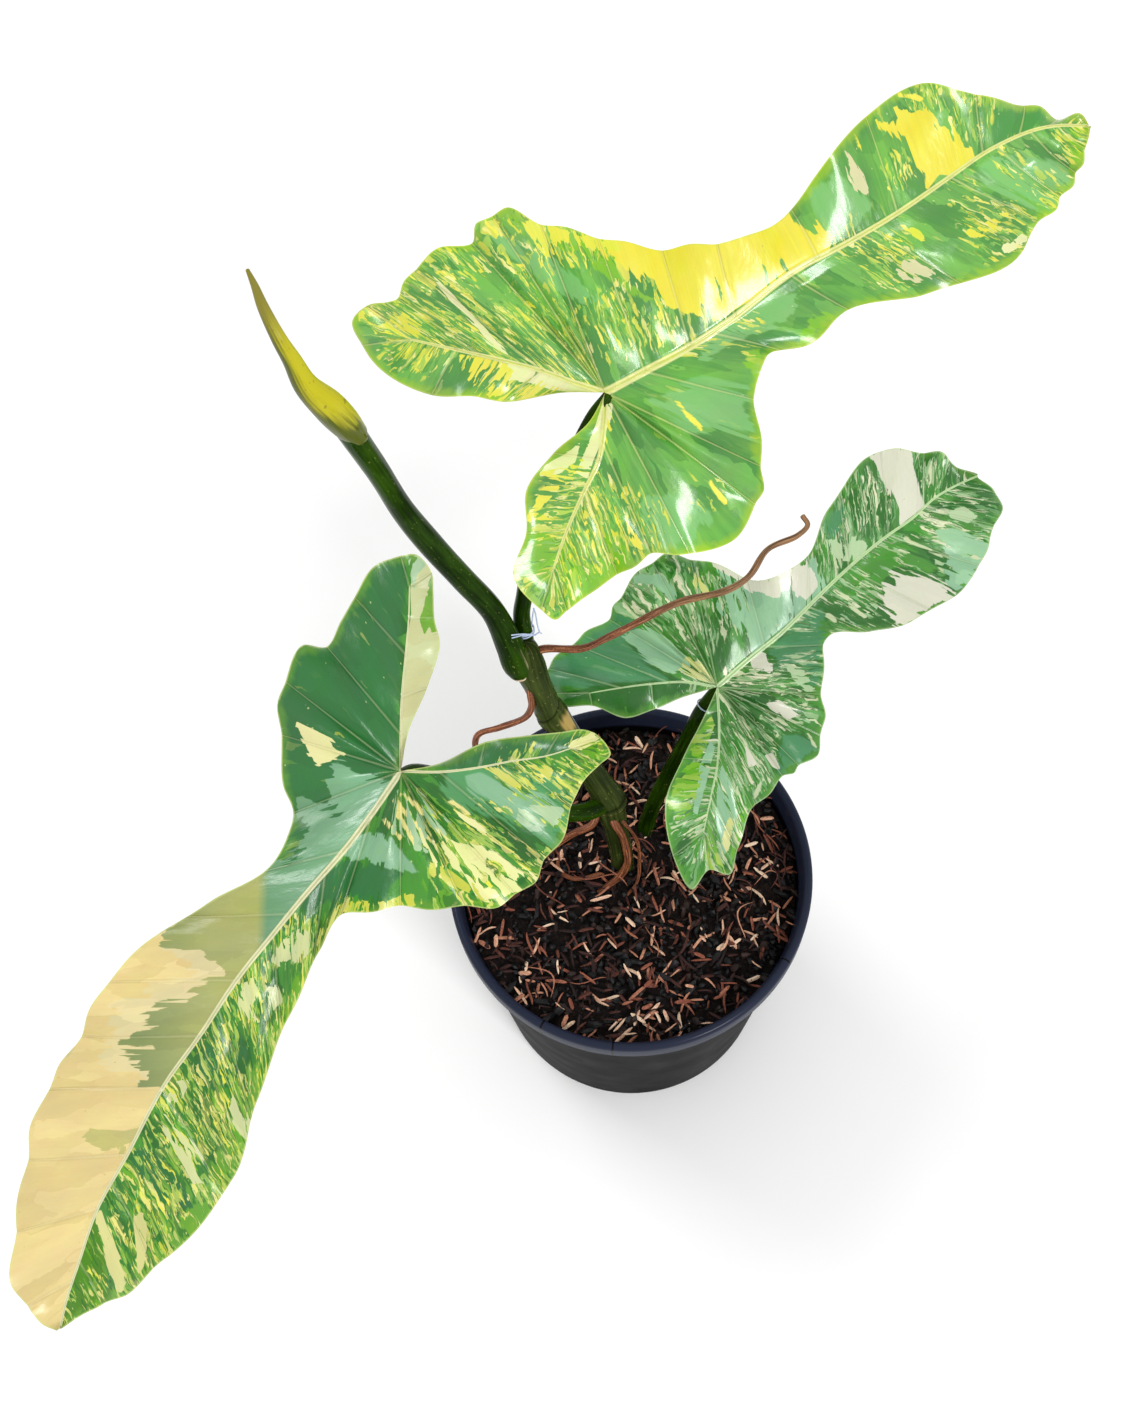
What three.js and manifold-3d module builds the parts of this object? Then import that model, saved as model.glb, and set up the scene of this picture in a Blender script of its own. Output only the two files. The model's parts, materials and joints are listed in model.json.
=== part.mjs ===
// A variegated violin-leaf philodendron in a black nursery pot.
// Millimetres, +Z up, with the origin at the middle of the pot's flat base.
import * as THREE from 'three';
import { mergeVertices } from 'three/addons/utils/BufferGeometryUtils.js';
import Module from 'manifold-3d';

const wasm = await Module();
wasm.setup();

// Clearance between pieces that touch.
const GAP = 0.3;

// The pot: an eight inch nursery pot with a turned-over rim and a raised floor.
const POT = {
  rimRadius: 100,
  height: 185,
  baseRadius: 83,
  shoulderRadius: 95,
  rimDepth: 14,
  rimWidth: 5,
  wall: 2,
  floor: 2.5,
  recess: 2,
  padRadius: 24,
  footRadius: 70,
  holeRadius: 6,
  holeRing: 52,
  holes: 6,
  fillet: 3,
  bevel: 2,
  lipRound: 1.6,
  segments: 40,
};

// The potting mix: its level, its unevenness, and the husk chips on it.
const MIX = {
  level: POT.height - 18,
  rise: 1.6,
  rings: 6,
  swells: [9, 11, 23, 17],
  chips: 34,
  chipSize: [10, 2.8, 2.4],
  chipTilt: 0.5,
  chipLift: 0.5,
  clearOfStem: 16,
  clearOfWall: 8,
  seed: 7,
};

// A leaf's blade: thickness, depth of the veins' keels below it and their half width.
const BLADE = { thickness: 1, keel: 2.2, keelHalf: 2.6, across: [0.36, 0.7, 1], perSpan: 2 };

// Each step of a limb's domed end: its share of the radius, and how far out it lies.
const DOME = [[0.7, 0.42], [0, 0.6]];

// Limbs are lists of [x, y, z, radius], from the root end up.
const STEM = [
  [-2, 6, 112, 6],
  [-3, 9, 140, 6.4],
  [-3, 10, 167, 6.4],
  [-4, 14, 185, 6.5],
  [-6, 20, 205, 6.8],
  [-8, 24, 220, 8.6],
  [-9, 26, 228, 9],
  [-13, 30, 238, 7.4],
  [-23, 40, 262, 7],
  [-31, 48, 280, 7.4],
  [-34, 50, 286, 8.4],
  [-36, 52, 292, 7.2],
  [-40, 56, 310, 7],
  [-43, 60, 324, 8],
  [-44, 64, 334, 6.4],
];
const UPPER_PETIOLE = [
  [-43, 66, 322, 4],
  [-44, 71, 334, 4.4],
  [-44, 75, 348, 4.1],
  [-42, 77, 360, 4],
  [-37, 83, 384, 3.8],
  [-26, 94, 415, 3.7],
  [-11, 106, 438, 3.6],
  [-3, 114, 448, 3.4],
  [6, 119, 451, 2.6],
];
const FRONT_PETIOLE = [
  [-11, 24, 226, 5.4],
  [-21, 16, 236, 5],
  [-35, 11, 250, 4.5],
  [-54, 4, 280, 4.2],
  [-73, -5, 325, 4],
  [-86, -14, 368, 3.8],
  [-95, -20, 389, 3.5],
  [-103, -30, 395, 2.6],
];
const LOWER_PETIOLE = [
  [8, 26, 140, 4.8],
  [12, 30, 167, 4.8],
  [14, 33, 176, 4.6],
  [19, 37, 196, 4.4],
  [29, 44, 226, 4.2],
  [36, 47, 252, 4],
  [42, 50, 274, 3.8],
  [47, 53, 283, 3.4],
  [55, 58, 287, 2.6],
];
const NEWEST_PETIOLE = [
  [-46, 58, 318, 7.8],
  [-48, 59, 326, 8],
  [-51, 64, 338, 7],
  [-57, 70, 362, 5.8],
  [-68, 73, 388, 5.7],
  [-79, 76, 414, 5.8],
  [-88, 76, 444, 5.3],
  [-94, 73, 480, 5],
  [-99, 69, 510, 5.4],
  [-101, 68, 522, 5.8],
];
const ROLLED_LEAF = [
  [-98, 69, 512, 5],
  [-101, 68, 522, 6.2],
  [-105, 67, 534, 6.3],
  [-111, 68, 546, 4.7],
  [-114, 71, 557, 3.5],
  [-117, 74, 566, 2.8],
  [-121, 82, 574, 2.1],
  [-123, 88, 578, 1.4],
  [-125, 93, 581, 0.7],
];
const LONG_ROOT = [
  [-42, 62, 328, 2],
  [-36, 64, 331, 2],
  [-16, 62, 332, 1.8],
  [-3, 66, 334, 1.8],
  [13, 71, 338, 1.8],
  [32, 77, 342, 1.8],
  [54, 79, 345, 1.7],
  [66, 84, 348, 1.6],
  [77, 96, 352, 1.5],
  [92, 101, 354, 1.4],
  [97, 105, 356, 1.3],
  [95, 109, 358, 1.2],
];
const HANGING_ROOT = [
  [-44, 58, 316, 1.8],
  [-44, 50, 311, 1.8],
  [-44, 47, 303, 1.7],
  [-48, 46, 294, 1.7],
  [-61, 46, 285, 1.6],
  [-72, 46, 280, 1.6],
  [-75, 44, 272, 1.6],
  [-73, 40, 255, 1.6],
  [-72, 35, 225, 1.6],
  [-70, 31, 195, 1.5],
  [-68, 28, 160, 1.4],
];
const SIDE_ROOT = [
  [-14, 24, 224, 2],
  [-18, 16, 218, 2],
  [-28, 16, 207, 1.9],
  [-36, 16, 196, 1.8],
  [-46, 14, 182, 1.8],
  [-56, 10, 168, 1.7],
  [-63, 7, 158, 1.6],
];
const FRONT_ROOT = [
  [-9, 24, 224, 2.2],
  [-7, 16, 218, 2.2],
  [-3, 12, 208, 2.1],
  [-1, 7, 196, 2.1],
  [-1, 4, 184, 2.1],
  [-5, 1, 175, 2],
  [-11, -2, 170, 1.9],
  [-18, -5, 166, 1.8],
  [-25, -6, 160, 1.6],
];
const THIN_ROOT = [
  [-9, 22, 222, 1],
  [-1, 16, 213, 1],
  [5, 12, 198, 1],
  [6, 6, 182, 1],
  [4, -2, 171, 0.9],
  [-2, -8, 166, 0.9],
  [-8, -11, 160, 0.8],
];
const SOIL_ROOT = [
  [-13, 4, 160, 1.2],
  [-16, 5, 168, 1.2],
  [-20, 4, 169.2, 1.2],
  [-26, 3, 169.2, 1.2],
  [-33, 4, 169.2, 1.2],
  [-39, 10, 169.2, 1.2],
  [-38, 18, 169, 1.1],
  [-32, 24, 168, 1.1],
  [-25, 27, 160, 1],
];

// Ties: a doubled wire round petiole a, with its knot and tails, and one ring on petiole c.
const TIE = { wire: 0.6, strands: 2, lift: 1, at: 0.16, knot: 1.7, knotSide: [0.86, -0.5, 0] };
const TIE_TAIL = [[0, 0, 0], [1.5, -1, 5], [0, 1, 12], [1.5, 3, 17]];
const RING = { wire: 0.5, at: 0.8 };

// Each leaf lies in its own frame. x runs along the midrib from the petiole to the tip, y to
// its left and z out of the upper face. Outlines are the ends of the side veins, by root.
const UPPER_LEAF = {
  at: [2, 120, 455],
  heading: 19,
  climb: 13,
  bank: 33,
  length: 244,
  droop: 35,
  lobe: 110,
  lobeDroop: 20,
  crown: 0.2,
  crownWidth: 82,
  wave: 5,
  waveLength: 62,
  wavePhase: [0.6, 2.2],
  midrib: [[244, 2], [234, 7], [226, 10], [217, 12], [206, 13], [193, 13], [175, 11],
    [147, 8], [121, 7], [93, 7], [64, 2], [41, 0], [19, 0], [0, 0]],
  left: {
    blade: [[244, 2], [242, 9], [233, 11], [227, 20], [215, 26], [199, 37], [178, 51],
      [153, 51], [120, 37], [94, 28], [70, 33], [49, 42], [27, 59], [8, 75]],
    fan: [[-2, 87], [-14, 88], [-21, 83]],
    rib: [[-10, 10], [-20, 21], [-33, 33], [-48, 46], [-63, 59]],
    outer: [[-34, 86], [-47, 84], [-56, 79], [-64, 77], [-74, 82]],
    end: [[-82, 78], [-84, 68]],
    inner: [[-17, 9], [-41, 17], [-50, 25], [-67, 34], [-80, 53]],
  },
  right: {
    blade: [[244, 2], [239, -3], [234, -9], [229, -14], [222, -18], [215, -22], [204, -25],
      [176, -34], [143, -28], [109, -19], [86, -23], [67, -19], [55, -33], [45, -60]],
    fan: [[36, -74], [21, -82], [0, -79]],
    rib: [[-7, -12], [-16, -24], [-28, -33], [-42, -44], [-56, -57]],
    outer: [[-10, -72], [-20, -71], [-32, -73], [-45, -73], [-59, -76]],
    end: [[-65, -76], [-69, -70]],
    inner: [[-13, -8], [-32, -12], [-49, -21], [-59, -37], [-72, -51]],
  },
};
const FRONT_LEAF = {
  at: [-99, -24, 400],
  heading: -128,
  climb: -16,
  bank: -19,
  length: 282,
  droop: 42,
  lobe: 110,
  lobeDroop: 20,
  crown: 0.2,
  crownWidth: 78,
  wave: 5,
  waveLength: 70,
  wavePhase: [0.2, 1.7],
  midrib: [[282, 0], [269, -4], [250, -8], [225, -13], [198, -14], [165, -16], [138, -14],
    [110, -13], [86, -10], [64, -7], [41, -3], [21, -1], [0, 0]],
  left: {
    blade: [[282, 0], [274, 4], [263, 11], [248, 18], [221, 24], [193, 30], [167, 26],
      [146, 20], [121, 15], [97, 12], [80, 10], [66, 10], [54, 23]],
    fan: [[45, 37], [35, 53], [26, 65], [13, 71]],
    rib: [[-8, 14], [-18, 27], [-28, 38], [-37, 49], [-46, 57]],
    outer: [[1, 72], [-11, 73], [-24, 71], [-35, 68], [-46, 71]],
    end: [[-52, 72], [-56, 65]],
    inner: [[-11, 12], [-29, 24], [-39, 36], [-49, 49], [-55, 57]],
  },
  right: {
    blade: [[282, 0], [281, -9], [273, -25], [254, -38], [221, -49], [191, -57], [165, -57],
      [137, -58], [111, -51], [87, -39], [65, -27], [50, -25], [39, -30]],
    fan: [[29, -39], [13, -51], [-7, -61], [-23, -62]],
    rib: [[-13, -8], [-27, -16], [-43, -24], [-57, -31], [-69, -38]],
    outer: [[-29, -55], [-41, -54], [-53, -56], [-68, -54], [-78, -48]],
    end: [[-82, -42], [-79, -33]],
    inner: [[-16, -6], [-36, -9], [-54, -14], [-63, -22], [-72, -28]],
  },
};
const LOWER_LEAF = {
  at: [50, 55, 290],
  heading: 31,
  climb: 13,
  bank: 19,
  length: 177,
  droop: 22,
  lobe: 90,
  lobeDroop: 19,
  crown: 0.2,
  crownWidth: 66,
  wave: 4,
  waveLength: 55,
  wavePhase: [0.4, 1.9],
  midrib: [[177, 1], [165, 4], [150, 6], [134, 5], [118, 6], [100, 6], [82, 5], [62, 3],
    [42, 1], [21, 1], [0, 0]],
  left: {
    blade: [[177, 1], [170, 11], [167, 23], [156, 33], [145, 43], [123, 42], [101, 35],
      [79, 24], [54, 26], [41, 45], [31, 60]],
    fan: [[21, 69], [7, 70], [-9, 67], [-21, 62]],
    rib: [[-11, 12], [-25, 22], [-38, 30], [-52, 38]],
    outer: [[-36, 63], [-50, 63], [-61, 62], [-66, 59]],
    end: [[-68, 51], [-67, 42]],
    inner: [[-17, 7], [-32, 11], [-46, 17], [-55, 32]],
  },
  right: {
    blade: [[177, 1], [179, -12], [173, -21], [157, -28], [146, -36], [122, -39], [97, -35],
      [79, -27], [61, -15], [50, -22], [39, -36]],
    fan: [[31, -47], [20, -57], [7, -57], [-3, -56]],
    rib: [[-11, -15], [-23, -29], [-37, -41], [-51, -53]],
    outer: [[-17, -58], [-31, -62], [-44, -72], [-54, -77]],
    end: [[-61, -70], [-73, -72]],
    inner: [[-20, -10], [-36, -17], [-56, -29], [-71, -53]],
  },
};

// Colour, roughness and metalness of each material.
const LOOKS = {
  potPlastic: [0x17181b, 0.35, 0],
  pottingMix: [0x2b211d, 0.9, 0],
  stemBark: [0x4b5523, 0.5, 0],
  darkPetiole: [0x22380b, 0.45, 0],
  yellowLeaf: [0x9cb83a, 0.45, 0],
  creamLeaf: [0xb8b478, 0.45, 0],
  greyLeaf: [0x7d9a78, 0.45, 0],
  rolledLeaf: [0xb3b81f, 0.45, 0],
  rootBark: [0x96502c, 0.6, 0],
  tieWire: [0xc3cede, 0.4, 0],
};

// Gives the same numbers from 0 to 1 in every run.
function seededRandom(seed) {
  let state = seed;
  return () => {
    state = (state + 0x6d2b79f5) | 0;
    let mixed = Math.imul(state ^ (state >>> 15), 1 | state);
    mixed = (mixed + Math.imul(mixed ^ (mixed >>> 7), 61 | mixed)) ^ mixed;
    return ((mixed ^ (mixed >>> 14)) >>> 0) / 4294967296;
  };
}

// Merges a geometry's shared corners and drops the triangles that this closes up.
function weld(geometry) {
  const bare = new THREE.BufferGeometry().setAttribute('position', geometry.attributes.position);
  if (geometry.index) bare.setIndex(geometry.index);
  const merged = mergeVertices(bare, 1e-3);
  const old = merged.index.array;
  const kept = [];
  for (let i = 0; i < old.length; i += 3) {
    const [a, b, c] = [old[i], old[i + 1], old[i + 2]];
    if (a !== b && b !== c && c !== a) kept.push(a, b, c);
  }
  merged.setIndex(kept);
  return merged;
}

// Turns every face round where a closed geometry's faces point inwards.
function outward(geometry) {
  const corners = geometry.attributes.position;
  const index = geometry.index.array;
  const [a, b, c] = [new THREE.Vector3(), new THREE.Vector3(), new THREE.Vector3()];
  let volume = 0;
  for (let i = 0; i < index.length; i += 3) {
    a.fromBufferAttribute(corners, index[i]);
    b.fromBufferAttribute(corners, index[i + 1]);
    c.fromBufferAttribute(corners, index[i + 2]);
    volume += a.dot(b.cross(c));
  }
  if (volume > 0) return geometry;
  for (let i = 0; i < index.length; i += 3) [index[i], index[i + 1]] = [index[i + 1], index[i]];
  return geometry;
}

function solidOf(geometry) {
  const welded = outward(weld(geometry));
  const vertProperties = new Float32Array(welded.attributes.position.array);
  const triVerts = new Uint32Array(welded.index.array);
  return new wasm.Manifold(new wasm.Mesh({ numProp: 3, vertProperties, triVerts }));
}

function geometryOf(solid) {
  const mesh = solid.getMesh();
  const geometry = new THREE.BufferGeometry();
  geometry.setAttribute('position', new THREE.BufferAttribute(mesh.vertProperties, 3));
  geometry.setIndex(new THREE.BufferAttribute(mesh.triVerts, 1));
  geometry.computeVertexNormals();
  return geometry;
}

// Cuts solids out of a solid and keeps the largest body that is left.
function cut(solid, ...others) {
  const left = others.reduce((rest, other) => rest.subtract(other), solid);
  const bodies = left.decompose();
  return bodies.reduce((most, body) => (body.volume() > most.volume() ? body : most));
}

// A round limb along a smooth path, with domed ends. extra is added to every radius.
function limb(stops, extra = 0, sides = 8, perSpan = 2) {
  const path = new THREE.CatmullRomCurve3(
    stops.map(([x, y, z]) => new THREE.Vector3(x, y, z)), false, 'centripetal');
  const steps = (stops.length - 1) * perSpan;
  const across = new THREE.Vector3(1, 0, 0);
  const rings = [];
  for (let step = 0; step <= steps; step += 1) {
    const span = Math.min(Math.floor(step / perSpan), stops.length - 2);
    const part = step / perSpan - span;
    const radius = THREE.MathUtils.lerp(stops[span][3], stops[span + 1][3], part) + extra;
    const along = path.getTangent(step / steps);
    across.addScaledVector(along, -across.dot(along)).normalize();
    const other = new THREE.Vector3().crossVectors(along, across);
    const ring = { centre: path.getPoint(step / steps), radius, across: across.clone(), other };
    const dome = (way) => DOME.map(([share, out]) => ({
      ...ring,
      radius: radius * share,
      centre: ring.centre.clone().addScaledVector(along, way * radius * out),
    }));
    if (step === 0) rings.push(...dome(-1).reverse());
    rings.push(ring);
    if (step === steps) rings.push(...dome(1));
  }
  const corners = [];
  const faces = [];
  rings.forEach((ring, row) => {
    for (let side = 0; side < sides; side += 1) {
      const turn = (2 * Math.PI * side) / sides;
      const corner = ring.centre.clone();
      corner.addScaledVector(ring.across, ring.radius * Math.cos(turn));
      corner.addScaledVector(ring.other, ring.radius * Math.sin(turn));
      corners.push(...corner.toArray());
      if (row === 0) continue;
      const next = (side + 1) % sides;
      const [a, b] = [(row - 1) * sides + side, (row - 1) * sides + next];
      const [c, d] = [row * sides + next, row * sides + side];
      faces.push(a, b, c, a, c, d);
    }
  });
  const geometry = new THREE.BufferGeometry();
  geometry.setAttribute('position', new THREE.Float32BufferAttribute(corners, 3));
  return geometry.setIndex(faces);
}

function limbSolid(stops, extra, sides, perSpan) {
  return solidOf(limb(stops, extra, sides, perSpan));
}

// The height of a leaf's upper face. across runs from 0 at the vein's root to 1 at the margin.
function bladeHeight(leaf, x, y, across) {
  const arch = x > 0
    ? -leaf.droop * (x / leaf.length) ** 2
    : -leaf.lobeDroop * (x / leaf.lobe) ** 2;
  const crown = leaf.crown * Math.abs(y) * (1 - Math.abs(y) / leaf.crownWidth);
  const phase = leaf.wavePhase[y > 0 ? 0 : 1];
  const wave = leaf.wave * across ** 2 * Math.sin((2 * Math.PI * x) / leaf.waveLength + phase);
  return arch + crown + wave;
}

// The side veins of half a blade, tip first: each one's root on a rib and its end on the margin.
function sideVeins(leaf, half) {
  const curve = (points) => new THREE.CatmullRomCurve3(
    points.map(([x, y]) => new THREE.Vector3(x, y, 0)), false, 'centripetal');
  const ribs = half.rib.length;
  const ends = [...half.blade, ...half.fan, ...half.outer, ...half.end,
    ...half.inner.slice().reverse(), [0, 0]];
  const onRib = [0, ...half.fan.map(() => 0), ...half.rib.map((_, i) => i + 1),
    ...half.end.map(() => ribs), ...half.rib.map((_, i) => ribs - i), 0];
  const midrib = curve(leaf.midrib);
  const rib = curve([[0, 0], ...half.rib]);
  const margin = curve(ends);
  const last = leaf.midrib.length - 1;
  const veins = [];
  for (let step = 0; step <= (ends.length - 1) * BLADE.perSpan; step += 1) {
    const place = step / BLADE.perSpan;
    const end = margin.getPoint(place / (ends.length - 1));
    if (place <= last) {
      veins.push({ root: midrib.getPoint(place / last), end, reach: leaf.length });
      continue;
    }
    const span = Math.min(Math.floor(place) - last, onRib.length - 2);
    const along = THREE.MathUtils.lerp(onRib[span], onRib[span + 1], place - last - span);
    veins.push({ root: rib.getPoint(along / ribs), end, reach: rib.getLength() });
  }
  return veins;
}

// A blade as one closed slab, split into triangles alike on both faces, with a keel under its
// veins. above and below thicken it.
function bladeGeometry(leaf, above = 0, below = 0) {
  const corners = [];
  const places = new Map();
  const cornerAt = (x, y, across, keel) => {
    const key = Math.round(x * 1000) + ' ' + Math.round(y * 1000);
    if (!places.has(key)) {
      places.set(key, corners.length);
      corners.push({ x, y, z: bladeHeight(leaf, x, y, across), keel });
    }
    return places.get(key);
  };
  const faces = [];
  for (const [half, turned] of [[leaf.left, false], [leaf.right, true]]) {
    let before = null;
    for (const { root, end, reach } of sideVeins(leaf, half)) {
      const length = root.distanceTo(end);
      const keel = BLADE.keel * Math.max(0, 1 - root.length() / reach);
      const foot = length > 0 ? Math.min(BLADE.keelHalf / length, 0.25) : 0.25;
      const row = [0, foot, ...BLADE.across].map((across) => {
        const point = root.clone().lerp(end, across);
        return cornerAt(point.x, point.y, across, across === 0 ? keel : 0);
      });
      for (let i = 0; before && i < row.length - 1; i += 1) {
        const quad = [before[i], row[i], row[i + 1], before[i + 1]];
        if (turned) quad.reverse();
        const [a, b, c, d] = quad;
        faces.push([a, b, c], [a, c, d]);
      }
      before = row;
    }
  }
  const kept = faces.filter(([a, b, c]) => a !== b && b !== c && c !== a);
  const inner = new Set(kept.flatMap(([a, b, c]) => [a + ' ' + b, b + ' ' + c, c + ' ' + a]));
  const count = corners.length;
  const index = [];
  for (const [a, b, c] of kept) {
    index.push(a, b, c, count + c, count + b, count + a);
    for (const [from, to] of [[a, b], [b, c], [c, a]]) {
      if (inner.has(to + ' ' + from)) continue;
      index.push(to, from, count + from, to, count + from, count + to);
    }
  }
  const upper = corners.flatMap(({ x, y, z }) => [x, y, z + above]);
  const lower = corners.flatMap(({ x, y, z, keel }) => [x, y, z - BLADE.thickness - keel - below]);
  const geometry = new THREE.BufferGeometry();
  geometry.setAttribute('position', new THREE.Float32BufferAttribute([...upper, ...lower], 3));
  return outward(geometry.setIndex(index));
}

function placeLeaf(object, leaf) {
  const [heading, climb, bank] = [leaf.heading, leaf.climb, leaf.bank].map(THREE.MathUtils.degToRad);
  object.position.set(...leaf.at);
  object.rotation.set(bank, -climb, heading, 'ZYX');
  object.updateMatrix();
}

// The space under and over a placed blade, to cut its petiole with.
function bladeSpace(leaf) {
  const object = new THREE.Object3D();
  placeLeaf(object, leaf);
  return solidOf(bladeGeometry(leaf, 9, GAP).applyMatrix4(object.matrix));
}

// A solid of revolution about the pot's axis from a closed profile of [radius, height].
function turned(profile) {
  const points = profile.map(([radius, height]) => new THREE.Vector2(radius, height));
  const lathe = new THREE.LatheGeometry(points, POT.segments);
  return solidOf(lathe.applyMatrix4(new THREE.Matrix4().makeRotationX(Math.PI / 2)));
}

function potSolid() {
  const { rimRadius, height, baseRadius, shoulderRadius, rimDepth, rimWidth, wall } = POT;
  const { floor, recess, padRadius, footRadius, holeRadius, holeRing, holes } = POT;
  const { fillet, bevel, lipRound } = POT;
  const shoulder = height - rimDepth;
  const lip = rimRadius - rimWidth;
  const shell = turned([
    [0, 0],
    [padRadius, 0],
    [padRadius + recess, recess],
    [footRadius - recess, recess],
    [footRadius, 0],
    [baseRadius - bevel, 0],
    [baseRadius, bevel],
    [shoulderRadius, shoulder],
    [rimRadius - lipRound, shoulder],
    [rimRadius, shoulder + lipRound],
    [rimRadius, height - lipRound],
    [rimRadius - lipRound, height],
    [lip + lipRound, height],
    [lip, height - lipRound],
    [shoulderRadius - wall, shoulder],
    [baseRadius - wall, recess + floor + fillet],
    [baseRadius - wall - fillet, recess + floor],
    [0, recess + floor],
  ]);
  const drains = [];
  for (let hole = 0; hole < holes; hole += 1) {
    const turn = (2 * Math.PI * hole) / holes;
    const drill = new THREE.CylinderGeometry(holeRadius, holeRadius, 4 * (floor + recess), 12);
    drill.rotateX(Math.PI / 2);
    drill.translate(holeRing * Math.cos(turn), holeRing * Math.sin(turn), 0);
    drains.push(solidOf(drill));
  }
  return cut(shell, ...drains);
}

// The potting mix, uneven on top, with husk chips part sunk in it.
function mixSolid(holes) {
  const random = seededRandom(MIX.seed);
  const floor = POT.recess + POT.floor + GAP;
  const corner = floor + POT.fillet;
  const slope = (POT.shoulderRadius - POT.baseRadius) / (POT.height - POT.rimDepth - corner + GAP);
  const wallAt = (z) => POT.baseRadius - POT.wall + slope * (z - corner) - GAP;
  const topRadius = wallAt(MIX.level);
  const [stemX, stemY] = STEM[2];
  const corners = [];
  const faces = [];
  const ring = (radius, heightOf) => {
    for (let sector = 0; sector < POT.segments; sector += 1) {
      const turn = (2 * Math.PI * sector) / POT.segments;
      const [x, y] = [radius * Math.cos(turn), radius * Math.sin(turn)];
      corners.push(x, y, heightOf(x, y));
    }
  };
  const [shortX, shortY, longX, longY] = MIX.swells;
  const relief = (x, y) => MIX.level + MIX.rise * 0.5 * (Math.sin(x / shortX) * Math.cos(y / shortY)
    + Math.sin(x / longX - y / longY) + random() - 0.5);
  ring(0, () => floor);
  ring(wallAt(corner) - POT.fillet, () => floor);
  ring(wallAt(corner), () => corner);
  for (let step = MIX.rings; step >= 0; step -= 1) {
    const middle = relief(0, 0);
    ring((topRadius * step) / MIX.rings, step > 0 ? relief : () => middle);
  }
  const rows = corners.length / 3 / POT.segments;
  for (let row = 1; row < rows; row += 1) {
    for (let sector = 0; sector < POT.segments; sector += 1) {
      const next = (sector + 1) % POT.segments;
      const [a, b] = [(row - 1) * POT.segments + sector, (row - 1) * POT.segments + next];
      const [c, d] = [row * POT.segments + next, row * POT.segments + sector];
      faces.push(a, b, c, a, c, d);
    }
  }
  const bed = new THREE.BufferGeometry();
  bed.setAttribute('position', new THREE.Float32BufferAttribute(corners, 3));
  let mix = solidOf(bed.setIndex(faces));
  for (let chip = 0; chip < MIX.chips; chip += 1) {
    const reach = Math.sqrt(random()) * (topRadius - MIX.clearOfWall);
    const turn = 2 * Math.PI * random();
    const [x, y] = [reach * Math.cos(turn), reach * Math.sin(turn)];
    const box = new THREE.BoxGeometry(...MIX.chipSize);
    box.rotateX(MIX.chipTilt * (random() - 0.5));
    box.rotateY(MIX.chipTilt * (random() - 0.5));
    box.rotateZ(Math.PI * random());
    box.translate(x, y, MIX.level + MIX.chipLift);
    if (Math.hypot(x - stemX, y - stemY) > MIX.clearOfStem) mix = mix.add(solidOf(box));
  }
  return cut(mix, ...holes);
}

// A ring of wire round a limb, at a share of its length.
function wireRing(stops, at, wire, extra, lift = 0) {
  const path = new THREE.CatmullRomCurve3(
    stops.map(([x, y, z]) => new THREE.Vector3(x, y, z)), false, 'centripetal');
  const place = at * (stops.length - 1);
  const span = Math.floor(place);
  const limbRadius = THREE.MathUtils.lerp(stops[span][3], stops[span + 1][3], place - span);
  const along = path.getTangent(at);
  const torus = new THREE.TorusGeometry(limbRadius + GAP + wire, wire + extra, 5, 14);
  torus.applyQuaternion(new THREE.Quaternion().setFromUnitVectors(new THREE.Vector3(0, 0, 1), along));
  const centre = path.getPoint(at).addScaledVector(along, lift);
  return { solid: solidOf(torus.translate(...centre.toArray())), centre, radius: limbRadius };
}

function tieSolid(extra = 0) {
  const rings = [];
  for (let strand = 0; strand < TIE.strands; strand += 1) {
    rings.push(wireRing(UPPER_PETIOLE, TIE.at, TIE.wire, extra, strand * TIE.lift));
  }
  const { centre, radius } = rings[0];
  const knotAt = centre.clone().addScaledVector(
    new THREE.Vector3(...TIE.knotSide), radius + GAP + TIE.knot);
  const knot = new THREE.IcosahedronGeometry(TIE.knot + extra, 0).translate(...knotAt.toArray());
  const [x, y, z] = knotAt.toArray();
  const tail = limbSolid(
    TIE_TAIL.map(([side, back, up]) => [x + side, y + back, z + up, TIE.wire]), extra, 5, 1);
  return rings.reduce((all, one) => all.add(one.solid), solidOf(knot).add(tail));
}

const part = new THREE.Group();

function addPiece(name, geometry, look) {
  const [color, roughness, metalness] = LOOKS[look];
  const mesh = new THREE.Mesh(
    geometry, new THREE.MeshStandardMaterial({ color, roughness, metalness }));
  mesh.name = name;
  part.add(mesh);
  return mesh;
}

function addSolid(name, solid, look) {
  addPiece(name, geometryOf(solid), look);
}

// The spaces that one piece leaves round another.
const stemSpace = limbSolid(STEM, GAP, 10);
const frontPetioleSpace = limbSolid(FRONT_PETIOLE, GAP);
const newestPetioleSpace = limbSolid(NEWEST_PETIOLE, GAP);
const rolledLeafBase = limbSolid(ROLLED_LEAF.slice(0, 4), GAP);
const tieSpace = tieSolid(GAP);
const rootSpaces = [HANGING_ROOT, SIDE_ROOT, FRONT_ROOT, THIN_ROOT, SOIL_ROOT].map(
  (stops) => limbSolid(stops, GAP, 6));
const lowerPetioleSpace = limbSolid(LOWER_PETIOLE, GAP);

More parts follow.
